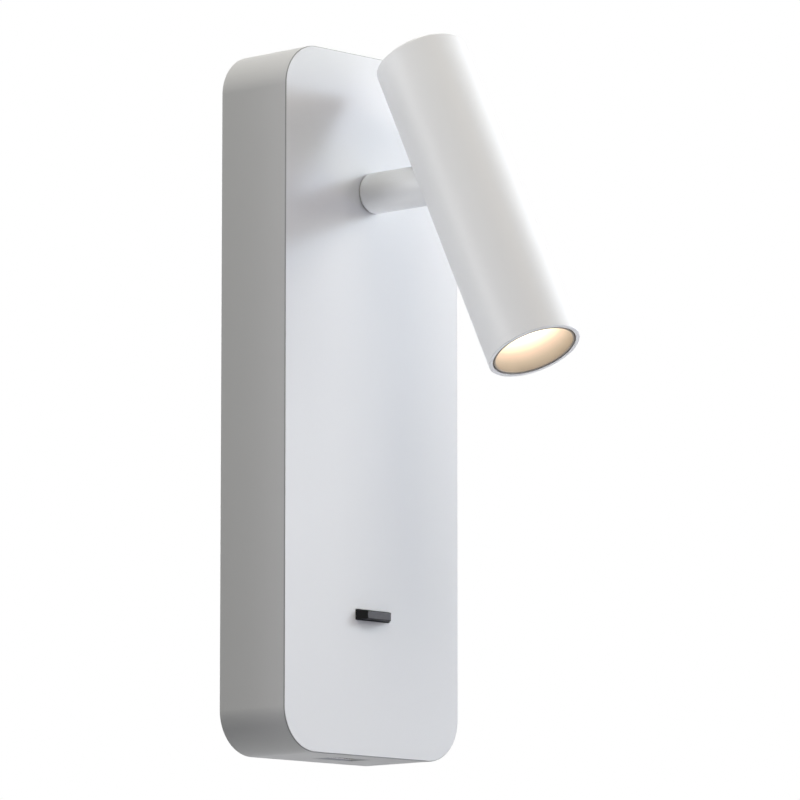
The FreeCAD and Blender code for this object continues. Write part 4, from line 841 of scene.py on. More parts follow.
switchFacts = {
    "middle": -0.063812, "half": 0.010, "tall": 0.0055, "front": -0.0246, "back": -0.0126, "corner": 0.0008,
    "seam": -0.0163, "gap": 0.0003, "coverEdge": 0.0003, "seamOver": 0.0006,
    "earHalf": 0.0161, "earTall": 0.003, "earFrom": -0.0216, "earTo": -0.0196, "earCorner": 0.0025,
    "screw": 0.0136, "hole": 0.00125,
    "roomHalf": 0.00755, "roomTall": 0.0026, "roomTo": -0.0160, "clip": 0.0011, "clipPlace": 0.006,
    "clipSink": 0.0004, "clipFrom": 0.0022, "clipTo": 0.0008,
    "spade": 0.004, "collar": (0.0005, 0.0013), "collarHalf": 0.0032, "collarDepth": 0.0004,
}


def makeSwitch(f):
    # the frame that the paddle swings in, its cover clipped on behind, and a low collar about each tag
    z, tall, seam, gap, back, corner = (f[k] for k in ("middle", "tall", "seam", "gap", "back", "corner"))
    body = layer("switch_body_frame", f, 0, f["front"], seam, corner, 4)
    cover = layer("cover", f, 0, seam + gap, back, corner, 4)
    soften(cover, above("y", back - tiny), f["coverEdge"])
    core = layer("core", f, gap, seam - f["seamOver"], seam + gap + f["seamOver"], corner, 4)
    bar, holes = ears(f, f["earCorner"], 10)
    clips = []
    for side in sides:
        for x in (-f["clipPlace"], f["clipPlace"]):
            clips.append(addBox("clip", (x - f["clip"], seam - f["clipFrom"], z + side * (tall - f["clipSink"])),
                                (x + f["clip"], seam + gap + f["clipTo"], z + side * tall)))
    carve(body, [cover, core, bar] + clips, "UNION")
    tools = [boxAt("room", 0, z, f["roomHalf"], f["roomTall"], f["front"] - over, f["roomTo"])]
    near, far = f["collar"]
    for side, hole in zip(sides, holes):
        tools.append(hole)
        for end in sides:
            x = side * f["spade"]
            tools.append(addBox("collar", (x + end * near, back - f["collarDepth"], z - f["collarHalf"]),
                                (x + end * far, back + over, z + f["collarHalf"])))
    carve(body, tools)
    return smooth(body)


transformerFacts = {
    "half": 0.0055, "front": -0.02009, "back": -0.01159, "top": -0.080, "low": -0.089, "cheek": 0.0015,
    "corner": 0.0009, "cheekEdge": 0.00018, "overlap": 0.0002, "windingRound": 0.0016, "cut": 0.0030, "bulge": 1.07,
}


def makeTransformer(f):
    # a bobbin's two cheeks with the taped winding between, fuller at its middle
    half, front, back, top, low, c = (f[k] for k in ("half", "front", "back", "top", "low", "cheek"))
    middle, inset = (low + top) / 2, c - f["overlap"]
    winding = addBox("supply_transformer_winding", (c - half, front + c, low + inset), (half - c, back, top - inset))
    soften(winding, along("z", 0.001), f["windingRound"], 8)
    bpy.ops.object.mode_set(mode="EDIT")
    for z in (low + f["cut"], middle, top - f["cut"]):
        bpy.ops.mesh.select_all(action="SELECT")
        bpy.ops.mesh.bisect(plane_co=(0, 0, z), plane_no=(0, 0, 1))
    pick(winding, lambda p: abs(p.z - middle) < 0.0017 and p.y < back - 0.0005, "VERT")
    resize((f["bulge"], f["bulge"], 1), (0, back, middle))
    shut()
    cheeks = [addBox("cheek", (-half, front, z), (half, back, z + c)) for z in (low, top - c)]
    for cheek in cheeks:
        soften(cheek, lambda a, b: abs(a.z - b.z) > 0.0001 and min(a.y, b.y) < front + tiny, f["corner"], 5)
        soften(cheek, lambda a, b: abs(a.z - b.z) < tiny and max(a.y, b.y) < back - 0.00001, f["cheekEdge"], 2)
    carve(winding, cheeks, "UNION")
    return smooth(winding)


capacitorFacts = {
    "radius": 0.0025, "length": 0.011, "round": 0.0004, "place": (-0.0055, -0.00749, -0.096),
    "crimp": ((0.0014, 0), (0.0017, 0.00025), (0.0019, 0.00025), (0.0022, 0)),  # height and depth
    "sleeve": (0.00035, 0.0001), "sleeveRise": 0.0003,
}


def makeCapacitor(f):
    # a sleeved can: rounded rims, and the groove that is rolled in near its seal
    r, length = f["radius"], f["length"]
    outline = [(0, 0), (r, 0)] + [(r - depth, z) for z, depth in f["crimp"]] + [(r, length), (0, length)]
    can = spinOutline("supply_capacitor_can", outline, 64)
    softenRings(can, [(r, 0, f["round"], 4), (r, length, f["round"], 4)])
    edit(can, lambda c, n: abs(n.z) > 0.99, "FACE")
    for width in f["sleeve"]:
        bpy.ops.mesh.inset(thickness=width)
    resize((1, 1, (length - f["sleeveRise"]) / length), (0, 0, length / 2))
    shut()
    return moved(smooth(can), f["place"], (0, 90, 0))


grommetFacts = {
    "barrel": 0.00695, "bore": 0.005, "flange": 0.009, "from": 0.00155, "to": 0.00345, "height": -0.040003,
    "round": 0.0007, "edge": 0.0003, "boreEdge": 0.0004,
}


def makeGrommet(f):
    # barrel in the bracket's hole, a rolled flange in front of it, and a bore that opens softly
    barrel, bore, flange, deep, face = (f[k] for k in ("barrel", "bore", "flange", "from", "to"))
    outline = [(bore, 0), (barrel, 0), (barrel, deep), (flange, deep), (flange, face), (bore, face)]
    ring = spinOutline("cable_grommet_ring", outline)
    softenRings(ring, [(flange, face, f["round"], 6), (flange, deep, f["edge"], 3), (bore, face, f["round"], 6),
                       (bore, 0, f["boreEdge"], 4), (barrel, 0, f["edge"], 3)])
    return moved(smooth(ring), (0, 0, f["height"]), (90, 0, 0))


bushFacts = {
    "inner": 0.00495, "outer": 0.0058, "flange": 0.0086, "barrel": 0.00265, "thick": 0.0014, "edge": 0.00015,
    "start": (0, -0.02725, 0.06413),
}


def makeBush(f):
    inner, outer, flange, barrel, edge = (f[k] for k in ("inner", "outer", "flange", "barrel", "edge"))
    reach = barrel + f["thick"]
    outline = [(inner, 0), (outer, 0), (outer, barrel), (flange, barrel), (flange, reach), (inner, reach)]
    bush = spinOutline("swivel_bush_ring", outline)
    softenRings(bush, [(flange, reach, edge, 2), (flange, barrel, edge, 2),
                       (inner, reach, edge, 2), (outer, 0, edge, 2)])
    return moved(smooth(bush), f["start"], (-90, 0, 0))


# inside the head

sinkFacts = {
    "start": -0.0141, "end": -0.0381, "radius": 0.0124, "core": 0.0044, "topPlate": 0.003, "basePlate": 0.004,
    "fins": 6, "fin": 0.0012, "edge": 0.00012, "root": 0.0003, "way": 0.0021, "wayPlace": -0.0064,
    "topScrew": (0.00125, 0.0082), "baseScrew": (0.00095, 0.0096), "blind": 0.0002,
}


def makeSink(f):
    # turned from one bar: end plates, thin fins with broken edges, then the wire way and screw holes
    r, core, e, root, start, end = (f[k] for k in ("radius", "core", "edge", "root", "start", "end"))
    level, base = start - f["topPlate"], end + f["basePlate"]
    pitch = (start - end - f["topPlate"] - f["basePlate"]) / (f["fins"] + 1)

    def disc(high, low):
        # up from the core at the disc's upper face, round its rim and back to the core
        return [(core, high + root), (core + root, high), (r - e, high), (r, high - e),
                (r, low + e), (r - e, low), (core + root, low), (core, low - root)]

    outline = [(0, start)] + disc(start, level)[2:]
    for k in range(f["fins"]):
        high = level - pitch * (k + 1) + f["fin"] / 2
        outline += disc(high, high - f["fin"])
    sink = spinOutline("heat_sink_turned", outline + disc(base, end)[:6] + [(0, end)])
    way, blind = f["wayPlace"], f["blind"]
    holes = [addRod("way", f["way"], (0, way, end - over), (0, way, start + over), 40)]
    for side in sides:
        for (radius, place), low, high in ((f["topScrew"], level - blind, start + over),
                                           (f["baseScrew"], end - over, base + blind)):
            holes.append(addRod("hole", radius, (side * place, 0, low), (side * place, 0, high), 32))
    carve(sink, holes)
    return onHead(smooth(sink))


holderFacts = {
    "radius": 0.0125, "front": -0.0475, "seat": 0.01025, "ledge": -0.04625, "cone": 0.0095, "throat": 0.0062,
    "play": 0.0003, "foot": -0.03935, "notch": 0.0078, "notchDepth": 0.0009, "rimRound": 0.0003, "edge": 0.0002,
}


def makeHolder(f):
    # its throat opens along the lens's flank
    r, front, seat, throat, foot = (f[k] for k in ("radius", "front", "seat", "throat", "foot"))
    slope = (lensFacts["cone"] - lensFacts["foot"]) / (lensFacts["back"] - lensFacts["ledge"])
    neck = lensFacts["back"] - (throat - f["play"] - lensFacts["foot"]) / slope
    notch = foot - f["notchDepth"]
    outline = [(r, notch), (r, front), (seat, front), (seat, f["ledge"]), (f["cone"], f["ledge"]),
               (throat, neck), (throat, foot), (f["notch"], foot), (f["notch"], notch)]
    ring = spinOutline("lens_holder_ring", outline, 120)
    softenRings(ring, [(r, front, f["rimRound"], 3), (seat, front, f["edge"], 2), (r, notch, f["edge"], 2)])
    return onHead(smooth(ring))


chipFacts = {
    "half": 0.0035, "face": -0.0393, "base": 0.0004, "corner": 0.0004, "edge": 0.00006, "sink": 0.0001,
    "dome": 0.0028, "rise": 0.0005, "dam": ((0, 0.5), (0.0002, 0.6), (0.0004, 0.45)), "rings": 7,
}


def makeChip(f):
    # a ceramic square with its corners cut, a dam ring, and the domed phosphor
    half, low, r, rise = f["half"], f["face"] - f["base"], f["dome"], f["rise"]
    base = addBox("led_chip_base", (-half, -half, low), (half, half, f["face"]))
    soften(base, along("z", 0.0001), f["corner"], 2)
    soften(base, below("z", low + tiny), f["edge"], 1)
    root = low + f["sink"]
    outline = [(0, root), (r, root)] + [(r - inset, low - rise * share) for inset, share in f["dam"]]
    inset, share = f["dam"][-1]
    for k in range(1, f["rings"] + 1):
        t = k / f["rings"]
        outline.append(((r - inset) * (1 - t), low - rise * (share + (1 - share) * math.sin(math.pi / 2 * t))))
    carve(base, [spinOutline("dome", outline, 64)], "UNION")
    return onHead(smooth(base))


softWidths = {
    # how much the edges are broken of the pieces that start from their CAD shape
    "wall_bracket": 0.00025, "cable_clamp": 0.0002, "tilt_carrier": 0.0003, "earth_tag": 0.0001,
    "switch_tags": 0.0001, "stop_washer": 0.0001, "supply_board": 0.00008, "led_board": 0.00008,
    "terminal_screws": 0.00012,
}


def softCopy(node, width):
    # the CAD shape with its doubles merged, its flat faces made whole and its edges broken
    piece = copyOf(frame["nodes"][node], node + "_soft")
    only(piece)
    bpy.ops.object.mode_set(mode="EDIT")
    mend(2 * tiny)
    bpy.ops.mesh.dissolve_limited(angle_limit=math.radians(0.6))
    shut()
    applyModifier(piece, "BEVEL", width=width, segments=2, limit_method="ANGLE", angle_limit=math.radians(40),
                  use_clamp_overlap=True, miter_outer="MITER_ARC")
    return smooth(piece)


# the pieces take their places

shown = {}


def stands(node, piece, body):
    # the piece stands for the CAD node and moves with its body
    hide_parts(node)
    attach(piece, body)
    shown[node] = piece


def standAll(rows):
    for node, make, facts, body in rows:
        stands(node, make(facts), body)


def fixes(node, one, places, turn=(0, 0, 0), body="base"):
    # one fixing copied to its places; those of the head lean with it
    piece = setOf(node + ("_one" if len(places) == 1 else "_pair"), one, places, turn)
    stands(node, onHead(piece) if body == "head" else piece, body)


def pair(x, y, z):
    return [(-x, y, z), (x, y, z)]


standAll([
    ("base_housing", makeHousing, housing, "base"), ("head_tube", makeTube, tubeFacts, "head"),
    ("end_cap", makeCap, capFacts, "head"), ("mouth_cone", makeCone, coneFacts, "head"),
    ("lens", makeLens, lensFacts, "head"), ("arm", makeArm, armFacts, "arm"),
    ("switch_lever", makePaddle, paddleFacts, "lever"),
])
print("main pieces modelled:", len(shown))

standAll([
    ("port_surround", makeSurround, portFacts, "base"), ("port_shell", makeShell, portFacts, "base"),
    ("port_tongue", makeTongue, portFacts, "base"), ("port_contacts", makeContacts, portFacts, "base"),
])
print("charging port modelled")

inner = -housing["depth"] + housing["frontWall"]
behindWall = (-90, 0, 0)  # for a screw driven from behind: its head faces the wall
fixes("cover_screws", makeGrub(0.008, 0.002), pair(0.016, -0.00625, 0.1056))
fixes("cable_clamp_screws", makePanScrew(0.0027), pair(0.0084, -0.0027, -0.027003), (90, 0, 0))
fixes("driver_screws", makePanScrew(0.0062), pair(0.026, inner + 0.0062, 0.0270088), behindWall)
fixes("switch_screws", makePanScrew(0.005), pair(0.0136, inner + 0.005, -0.063812), behindWall)
fixes("board_screws", makePanScrew(0.00835), pair(0.0098, -0.00999, -0.0794), behindWall)
fixes("block_screws", makePanScrew(0.013, blockPan), pair(0.0045, -0.0116, -0.0150096), behindWall)
fixes("earth_screw", makePanScrew(0.0058), [(-0.025, inner + 0.0058, -0.051912)], behindWall)
fixes("heat_sink_screws", makePanScrew(0.00805), pair(0.0082, 0, -0.009), body="head")
fixes("led_board_screws", makePanScrew(0.00515, smallPan), pair(0.0096, 0, -0.0393), (180, 0, 0), "head")
fixes("carrier_screw", makeGrub(0.004375, 0.00075), [(0, 0.013475, -0.0115)], behindWall, "head")
standAll([
    ("lock_nut", makeLockNut, nutFacts["lock"], "arm"), ("pivot_nut", makePivotNut, nutFacts["pivot"], "arm"),
    ("pivot_bolt", makeBolt, boltFacts, "arm"), ("wave_washer", makeWaveWasher, waveFacts, "arm"),
])
washerPlaces = [(x, *lean["place"][1:]) for x in (-0.00295, 0.00245)]
fixes("friction_washers", makeFriction(frictionFacts), washerPlaces, (0, 90, 0), "arm")
print("fixings modelled:", len(shown))

standAll([
    ("led_driver", makeDriver, driverFacts, "base"), ("terminal_block", makeBlock, blockFacts, "base"),
    ("switch_body", makeSwitch, switchFacts, "base"),
    ("supply_transformer", makeTransformer, transformerFacts, "base"),
    ("supply_capacitor", makeCapacitor, capacitorFacts, "base"),
    ("cable_grommet", makeGrommet, grommetFacts, "base"), ("swivel_bush", makeBush, bushFacts, "base"),
    ("heat_sink", makeSink, sinkFacts, "head"), ("lens_holder", makeHolder, holderFacts, "head"),
    ("led_chip", makeChip, chipFacts, "head"),
])
softBodies = {"tilt_carrier": "head", "led_board": "head", "stop_washer": "arm"}
for node, width in softWidths.items():
    stands(node, softCopy(node, width), softBodies.get(node, "base"))
print("inner pieces modelled:", len(shown))


# studio: soft lamps, a dim sky that looks white to the camera, and a pale floor far below

lamps = {
    "keyLow": {"place": (1.2445, -0.6617, 0.5130), "aim": (0, -0.03, 0), "size": (0.25, 0.25),
               "power": 7.43, "colour": (0.71, 0.834, 1)},
    "keyHigh": {"place": (1.1232, -0.5972, 0.7949), "aim": (0, -0.03, 0), "size": (0.25, 0.25),
                "power": 0.35, "colour": (1, 0.206, 0)},
    "softRight": {"place": (1.2445, -0.6617, 0.5130), "aim": (0, -0.03, 0), "size": (0.9, 0.9),
                  "power": 14.6, "colour": (0.982, 1, 0.93), "mirrored": False},
    "lowRight": {"place": (0.90, -0.55, -0.35), "aim": (0, -0.03, 0), "size": (0.5, 0.5),
                 "power": 1.77, "colour": (0.683, 0.682, 1)},
    "frontRight": {"place": (0.80, -1.36, 0.32), "aim": (0, 0, 0), "size": (1.2, 1.2),
                   "power": 4.18, "colour": (1, 0.99, 0.97)},
    "topLeft": {"place": (-0.62, -0.10, 1.30), "aim": (0, 0, 0.05), "size": (0.5, 0.5),
                "power": 5.76, "colour": (1, 0.992, 0.887)},
    "upperFront": {"place": (-0.2495, -0.9313, 1.1491), "aim": (0, -0.03, 0), "size": (0.5, 0.5),
                   "power": 5.99, "colour": (1, 0.934, 0.881)},
    "frontStrip": {"place": (-0.08, -0.15, 0), "aim": (-0.02, -0.03, 0), "size": (0.02, 0.3),
                   "power": 0.0088, "colour": (0.721, 0.736, 1)},
    "sideStrip": {"place": (-0.050, -0.030, 0), "aim": (-0.037, -0.020, 0), "size": (0.008, 0.34),
                  "power": 0.00292, "colour": (0.996, 0.964, 1)},
    "headRim": {"place": (-1.1018, 0.4452, 0.167), "aim": (0, -0.06, 0.05), "size": (0.5, 0.5),
                "power": 6.41, "colour": (0.979, 0.984, 1)},
    "mouthFill": {"place": (0, -0.5055, -0.834), "aim": (0, -0.06575, 0.06413), "size": (0.3, 0.3),
                  "power": 3.3, "colour": (0.97, 0.98, 1)},
    "behind": {"place": (-0.75, 1.25, 0.85), "aim": (0, 0, 0), "size": (0.8, 0.8),
               "power": 5.0, "colour": (1, 1, 1), "mirrored": False},
}
# lamps that light some pieces alone, as a card held close beside them would
linked = {
    "headRim": ("headAndArm", ("head_tube", "end_cap", "mouth_cone", "lens", "arm")),
    "mouthFill": ("tubeAndArm", ("head_tube", "arm")),
}
sky = {"level": 0.04, "white": 1.0}
floorFacts = {"height": -1.7, "radius": 6.0, "colour": 0.88, "roughness": 0.8, "own": 0.94}


def addLamp(name, f):
    lamp = bpy.data.lights.new(name, "AREA")
    lamp.shape = "RECTANGLE"
    lamp.size, lamp.size_y = f["size"]
    lamp.energy = f["power"]
    lamp.color = f["colour"]
    holder = bpy.data.objects.new(name, lamp)
    holder.location = f["place"]
    holder.rotation_euler = (Vector(f["aim"]) - Vector(f["place"])).to_track_quat("-Z", "Y").to_euler()
    holder.visible_camera = False
    holder.visible_glossy = f.get("mirrored", True)
    scene.collection.objects.link(holder)
    if name in linked:
        groupName, pieces = linked[name]
        group = bpy.data.collections.new(groupName)
        for piece in pieces:
            group.objects.link(shown[piece])
        holder.light_linking.receiver_collection = group


def addNode(tree, kind, inputs=None, **settings):
    # a node, with each input set to a value or linked to an output
    node = tree.nodes.new(kind)
    for key, value in settings.items():
        setattr(node, key, value)
    fill(tree, node, inputs or {})
    return node


def fill(tree, node, inputs):
    for key, value in inputs.items():
        if isinstance(value, bpy.types.NodeSocket):
            tree.links.new(value, node.inputs[key])
        else:
            node.inputs[key].default_value = value


def showsWhite(tree):
    # 1 for what the camera sees, and for what gloss and glass show of the background
    paths = tree.nodes.new("ShaderNodeLightPath")
    total = paths.outputs["Is Camera Ray"]
    for kind in ("Is Glossy Ray", "Is Transmission Ray"):
        total = addNode(tree, "ShaderNodeMath", {0: total, 1: paths.outputs[kind]}, operation="MAXIMUM").outputs[0]
    return total


def makeWorld(f):
    world = bpy.data.worlds.new("studio")
    scene.world = world
    world.use_nodes = True
    tree = world.node_tree
    tree.nodes.clear()
    dim, white = (addNode(tree, "ShaderNodeBackground", {"Color": (f[k], f[k], f[k], 1)}).outputs[0]
                  for k in ("level", "white"))
    mix = addNode(tree, "ShaderNodeMixShader", {"Fac": showsWhite(tree), 1: dim, 2: white})
    addNode(tree, "ShaderNodeOutputWorld", {"Surface": mix.outputs[0]})


def makeFloor(f):
    bpy.ops.object.select_all(action="DESELECT")
    bpy.ops.mesh.primitive_circle_add(vertices=96, radius=f["radius"], fill_type="NGON", location=(0, 0, f["height"]))
    floor = settle(active("floor"))
    material = bpy.data.materials.new("floor")
    material.use_nodes = True
    tree = material.node_tree
    shader = tree.nodes["Principled BSDF"]
    grey = f["colour"]
    fill(tree, shader, {"Base Color": (grey, grey, grey, 1), "Roughness": f["roughness"]})
    share = addNode(tree, "ShaderNodeMath", {0: showsWhite(tree), 1: f["own"]}, operation="MULTIPLY")
    glow = addNode(tree, "ShaderNodeEmission")
    mix = addNode(tree, "ShaderNodeMixShader", {"Fac": share.outputs[0], 1: shader.outputs[0], 2: glow.outputs[0]})
    fill(tree, tree.nodes["Material Output"], {"Surface": mix.outputs[0]})
    floor.data.materials.append(material)


makeWorld(sky)
makeFloor(floorFacts)
for name, f in lamps.items():
    addLamp(name, f)
print("studio ready:", len(lamps), "lamps")


# finishes: each is one shader with patterns in the object's own coordinates

def shaderOf(material):
    return material.node_tree.nodes["Principled BSDF"]


def surface(name, colour, roughness, metallic=0.0, **more):
    material = bpy.data.materials.new(name)
    material.use_nodes = True
    material.diffuse_color = (*colour, 1)
    more = {key.replace("_", " "): value for key, value in more.items()}
    fill(material.node_tree, shaderOf(material),
         {"Base Color": (*colour, 1), "Roughness": roughness, "Metallic": metallic, **more})
    return material


def pattern(material, kind="ShaderNodeTexNoise", scale=100, stretch=(1, 1, 1), place=(0, 0, 0), turn=(0, 0, 0),
            output=0, flat=False, **settings):
    # a texture of that scale; flat takes the distance across the axis alone
    tree = material.node_tree
    turn = [math.radians(a) for a in turn]
    coords = addNode(tree, "ShaderNodeTexCoord").outputs["Object"]
    source = addNode(tree, "ShaderNodeMapping", vector_type="TEXTURE").outputs[0]
    mapping = source.node
    fill(tree, mapping, {"Vector": coords, "Location": place, "Rotation": turn, "Scale": stretch})
    if flat:
        source = addNode(tree, "ShaderNodeVectorMath", {0: source, 1: (1, 1, 0)}, operation="MULTIPLY").outputs[0]
    node = addNode(tree, kind, {0: source})
    if "Scale" in node.inputs:
        node.inputs["Scale"].default_value = scale
    for key, value in settings.items():
        if hasattr(node, key):
            setattr(node, key, value)
        else:
            node.inputs[key.replace("_", " ")].default_value = value
    return node.outputs[output]


def speckle(material, scale, detail, stretch=(1, 1, 1)):
    return pattern(material, scale=scale, Detail=detail, stretch=stretch)


def remap(material, value, low, high, least, most):
    # a value between low and high becomes one between least and most
    return addNode(material.node_tree, "ShaderNodeMapRange",
                   {"Value": value, "From Min": low, "From Max": high, "To Min": least, "To Max": most}).outputs[0]


def ramp(material, value, stops):
    # colours along a value, as (place, colour) pairs
    node = addNode(material.node_tree, "ShaderNodeValToRGB", {"Fac": value})
    elements = node.color_ramp.elements
    while len(elements) < len(stops):
        elements.new(0.5)
    for element, (place, colour) in zip(elements, stops):
        element.position = place
        element.color = (*colour, 1)
    return node.outputs["Color"]


def blend(material, a, b, share, way="MIX"):
    # two colours mixed, or multiplied
    node = addNode(material.node_tree, "ShaderNodeMix", {}, data_type="RGBA", blend_type=way)
    fill(material.node_tree, node, {"A": a, "B": b, "Factor": share})
    return node.outputs["Result"]


def into(material, **sockets):
    # links or sets the shader's own inputs
    fill(material.node_tree, shaderOf(material), {key.replace("_", " "): value for key, value in sockets.items()})


def gloss(material, value, least, most, low=0.3, high=0.7):
    into(material, Roughness=remap(material, value, low, high, least, most))


def relief(material, value, height):
    # adds a bump of this height to those already there
    bump = addNode(material.node_tree, "ShaderNodeBump", {"Height": value, "Distance": height})
    normal = shaderOf(material).inputs["Normal"]
    if normal.links:
        fill(material.node_tree, bump, {"Normal": normal.links[0].from_socket})
    into(material, Normal=bump.outputs["Normal"])


def facingY(material, low, high, least, most):
    # how far the surface turns from the front, by its own normal
    coords = addNode(material.node_tree, "ShaderNodeTexCoord").outputs["Normal"]
    split = addNode(material.node_tree, "ShaderNodeSeparateXYZ", {0: coords})
    return remap(material, split.outputs["Y"], low, high, least, most)


def mottle(material, colour, share, *grain):
    # the colour a little darker and a little lighter in patches
    stops = [(0.3, [c * (1 - share) for c in colour]), (0.7, [min(1, c * (1 + share)) for c in colour])]
    colours = ramp(material, speckle(material, *grain), stops)
    into(material, Base_Color=colours)
    return colours


def powderPaint(name, colour, paintedEdgeShade=1.0, roughness=(0.42, 0.54)):
    # satin powder coat: a broad soft mottle, orange peel and a fine dry grain
    paint = surface(name, colour, 0.48)
    body = mottle(paint, colour, 0.008, 16, 4)
    if paintedEdgeShade < 1:
        # painted shade: the rounded front edge, where the surface turns from the front to the sides, is painted darker
        # as the line of shade along it
        black, white = (0, 0, 0), (1, 1, 1)
        shadeBand = ramp(paint, facingY(paint, -1, 0, 1, 0), [(0.06, black), (0.2, white), (0.9, white), (0.985, black)])
        into(paint, Base_Color=blend(paint, body, (*[c * paintedEdgeShade for c in colour], 1), shadeBand))
    relief(paint, pattern(paint, scale=780, Detail=2, Roughness=0.4), 0.0000085)
    grain = speckle(paint, 3300, 1)
    relief(paint, grain, 0.0000025)
    gloss(paint, grain, *roughness)
    return paint


# plain finishes: mottle is share, scale and detail; gloss is least, most, scale and detail;
# grain is height, scale and detail; a last triple stretches the pattern; base is the colour that an export
# without baking takes, where it differs
plain = {
    "black_steel": {"colour": (0.035, 0.034, 0.035), "rough": 0.38, "metal": 0.85,
                    "mottle": (0.3, 900, 4), "gloss": (0.30, 0.50, 2600, 2), "grain": (0.000003, 2600, 2)},
    "brass": {"base": (0.78, 0.58, 0.28), "colour": (0.76, 0.57, 0.28), "rough": 0.3, "metal": 1.0,
              "mottle": (0.10, 600, 4), "gloss": (0.22, 0.42, 1900, 3), "grain": (0.000003, 2800, 2, (1, 0.15, 1))},
    "black_rubber": {"base": (0.02, 0.02, 0.021), "colour": (0.022, 0.022, 0.023), "rough": 0.7,
                     "mottle": (0.25, 500, 5), "gloss": (0.62, 0.80, 900, 2), "grain": (0.000010, 2200, 3)},
    "port_steel": {"colour": (0.62, 0.61, 0.58), "rough": 0.28, "metal": 1.0, "mottle": (0.06, 500, 3),
                   "gloss": (0.20, 0.36, 2200, 3, (1, 1, 0.1)), "grain": (0.000003, 2200, 3, (1, 1, 0.1))},
    "board_white": {"base": (0.84, 0.84, 0.82), "colour": (0.83, 0.83, 0.81), "rough": 0.4, "more": {"IOR": 1.5},
                    "mottle": (0.03, 200, 3), "grain": (0.000004, 1800, 3)},
    "capacitor_sleeve": {"base": (0.02, 0.03, 0.10), "colour": (0.022, 0.032, 0.11), "rough": 0.28,
                         "more": {"IOR": 1.5, "Coat_Weight": 0.5, "Coat_Roughness": 0.12},
                         "mottle": (0.15, 300, 3), "grain": (0.00001, 500, 2)},
    "fibre": {"colour": (0.30, 0.09, 0.05), "rough": 0.75,
              "mottle": (0.25, 1500, 6, (1, 1, 0.25)), "grain": (0.00003, 1800, 5)},
}
for name, colour, rough, share, height in (
        ("white_nylon", (0.78, 0.78, 0.74), 0.42, 0.03, 0.000004),
        ("switch_plastic", (0.030, 0.030, 0.032), 0.46, 0.20, 0.000006),
        ("driver_plastic", (0.72, 0.72, 0.70), 0.52, 0.03, 0.000009),
        ("terminal_plastic", (0.80, 0.79, 0.73), 0.44, 0.03, 0.000004),
        ("port_plastic", (0.58, 0.59, 0.61), 0.50, 0.04, 0.000006)):
    # moulded plastic: a faint flow mottle and the fine spark grain of its mould
    plain[name] = {"colour": colour, "rough": rough, "more": {"IOR": 1.5}, "mottle": (share, 60, 3),
                   "gloss": (rough - 0.06, rough + 0.08, 2400, 2), "grain": (height, 2400, 2)}
for name, colour in (("lead_pvc", (0.17, 0.17, 0.18)), ("lead_white", (0.78, 0.78, 0.77))):
    # drawn insulation: faint lengthwise lines and a soft shine
    plain[name] = {"colour": colour, "rough": 0.38, "more": {"IOR": 1.5}, "mottle": (0.05, 150, 3),
                   "gloss": (0.32, 0.46, 900, 2), "grain": (0.000006, 1400, 2, (1, 1, 6))}


def makePlain(name, f):
    made = surface(name, f.get("base", f["colour"]), f["rough"], f.get("metal", 0.0), **f.get("more", {}))
    mottle(made, f["colour"], *f["mottle"])
    if "gloss" in f:
        least, most, *grain = f["gloss"]
        gloss(made, speckle(made, *grain), least, most)
    height, *grain = f["grain"]
    relief(made, speckle(made, *grain), height)
    return made


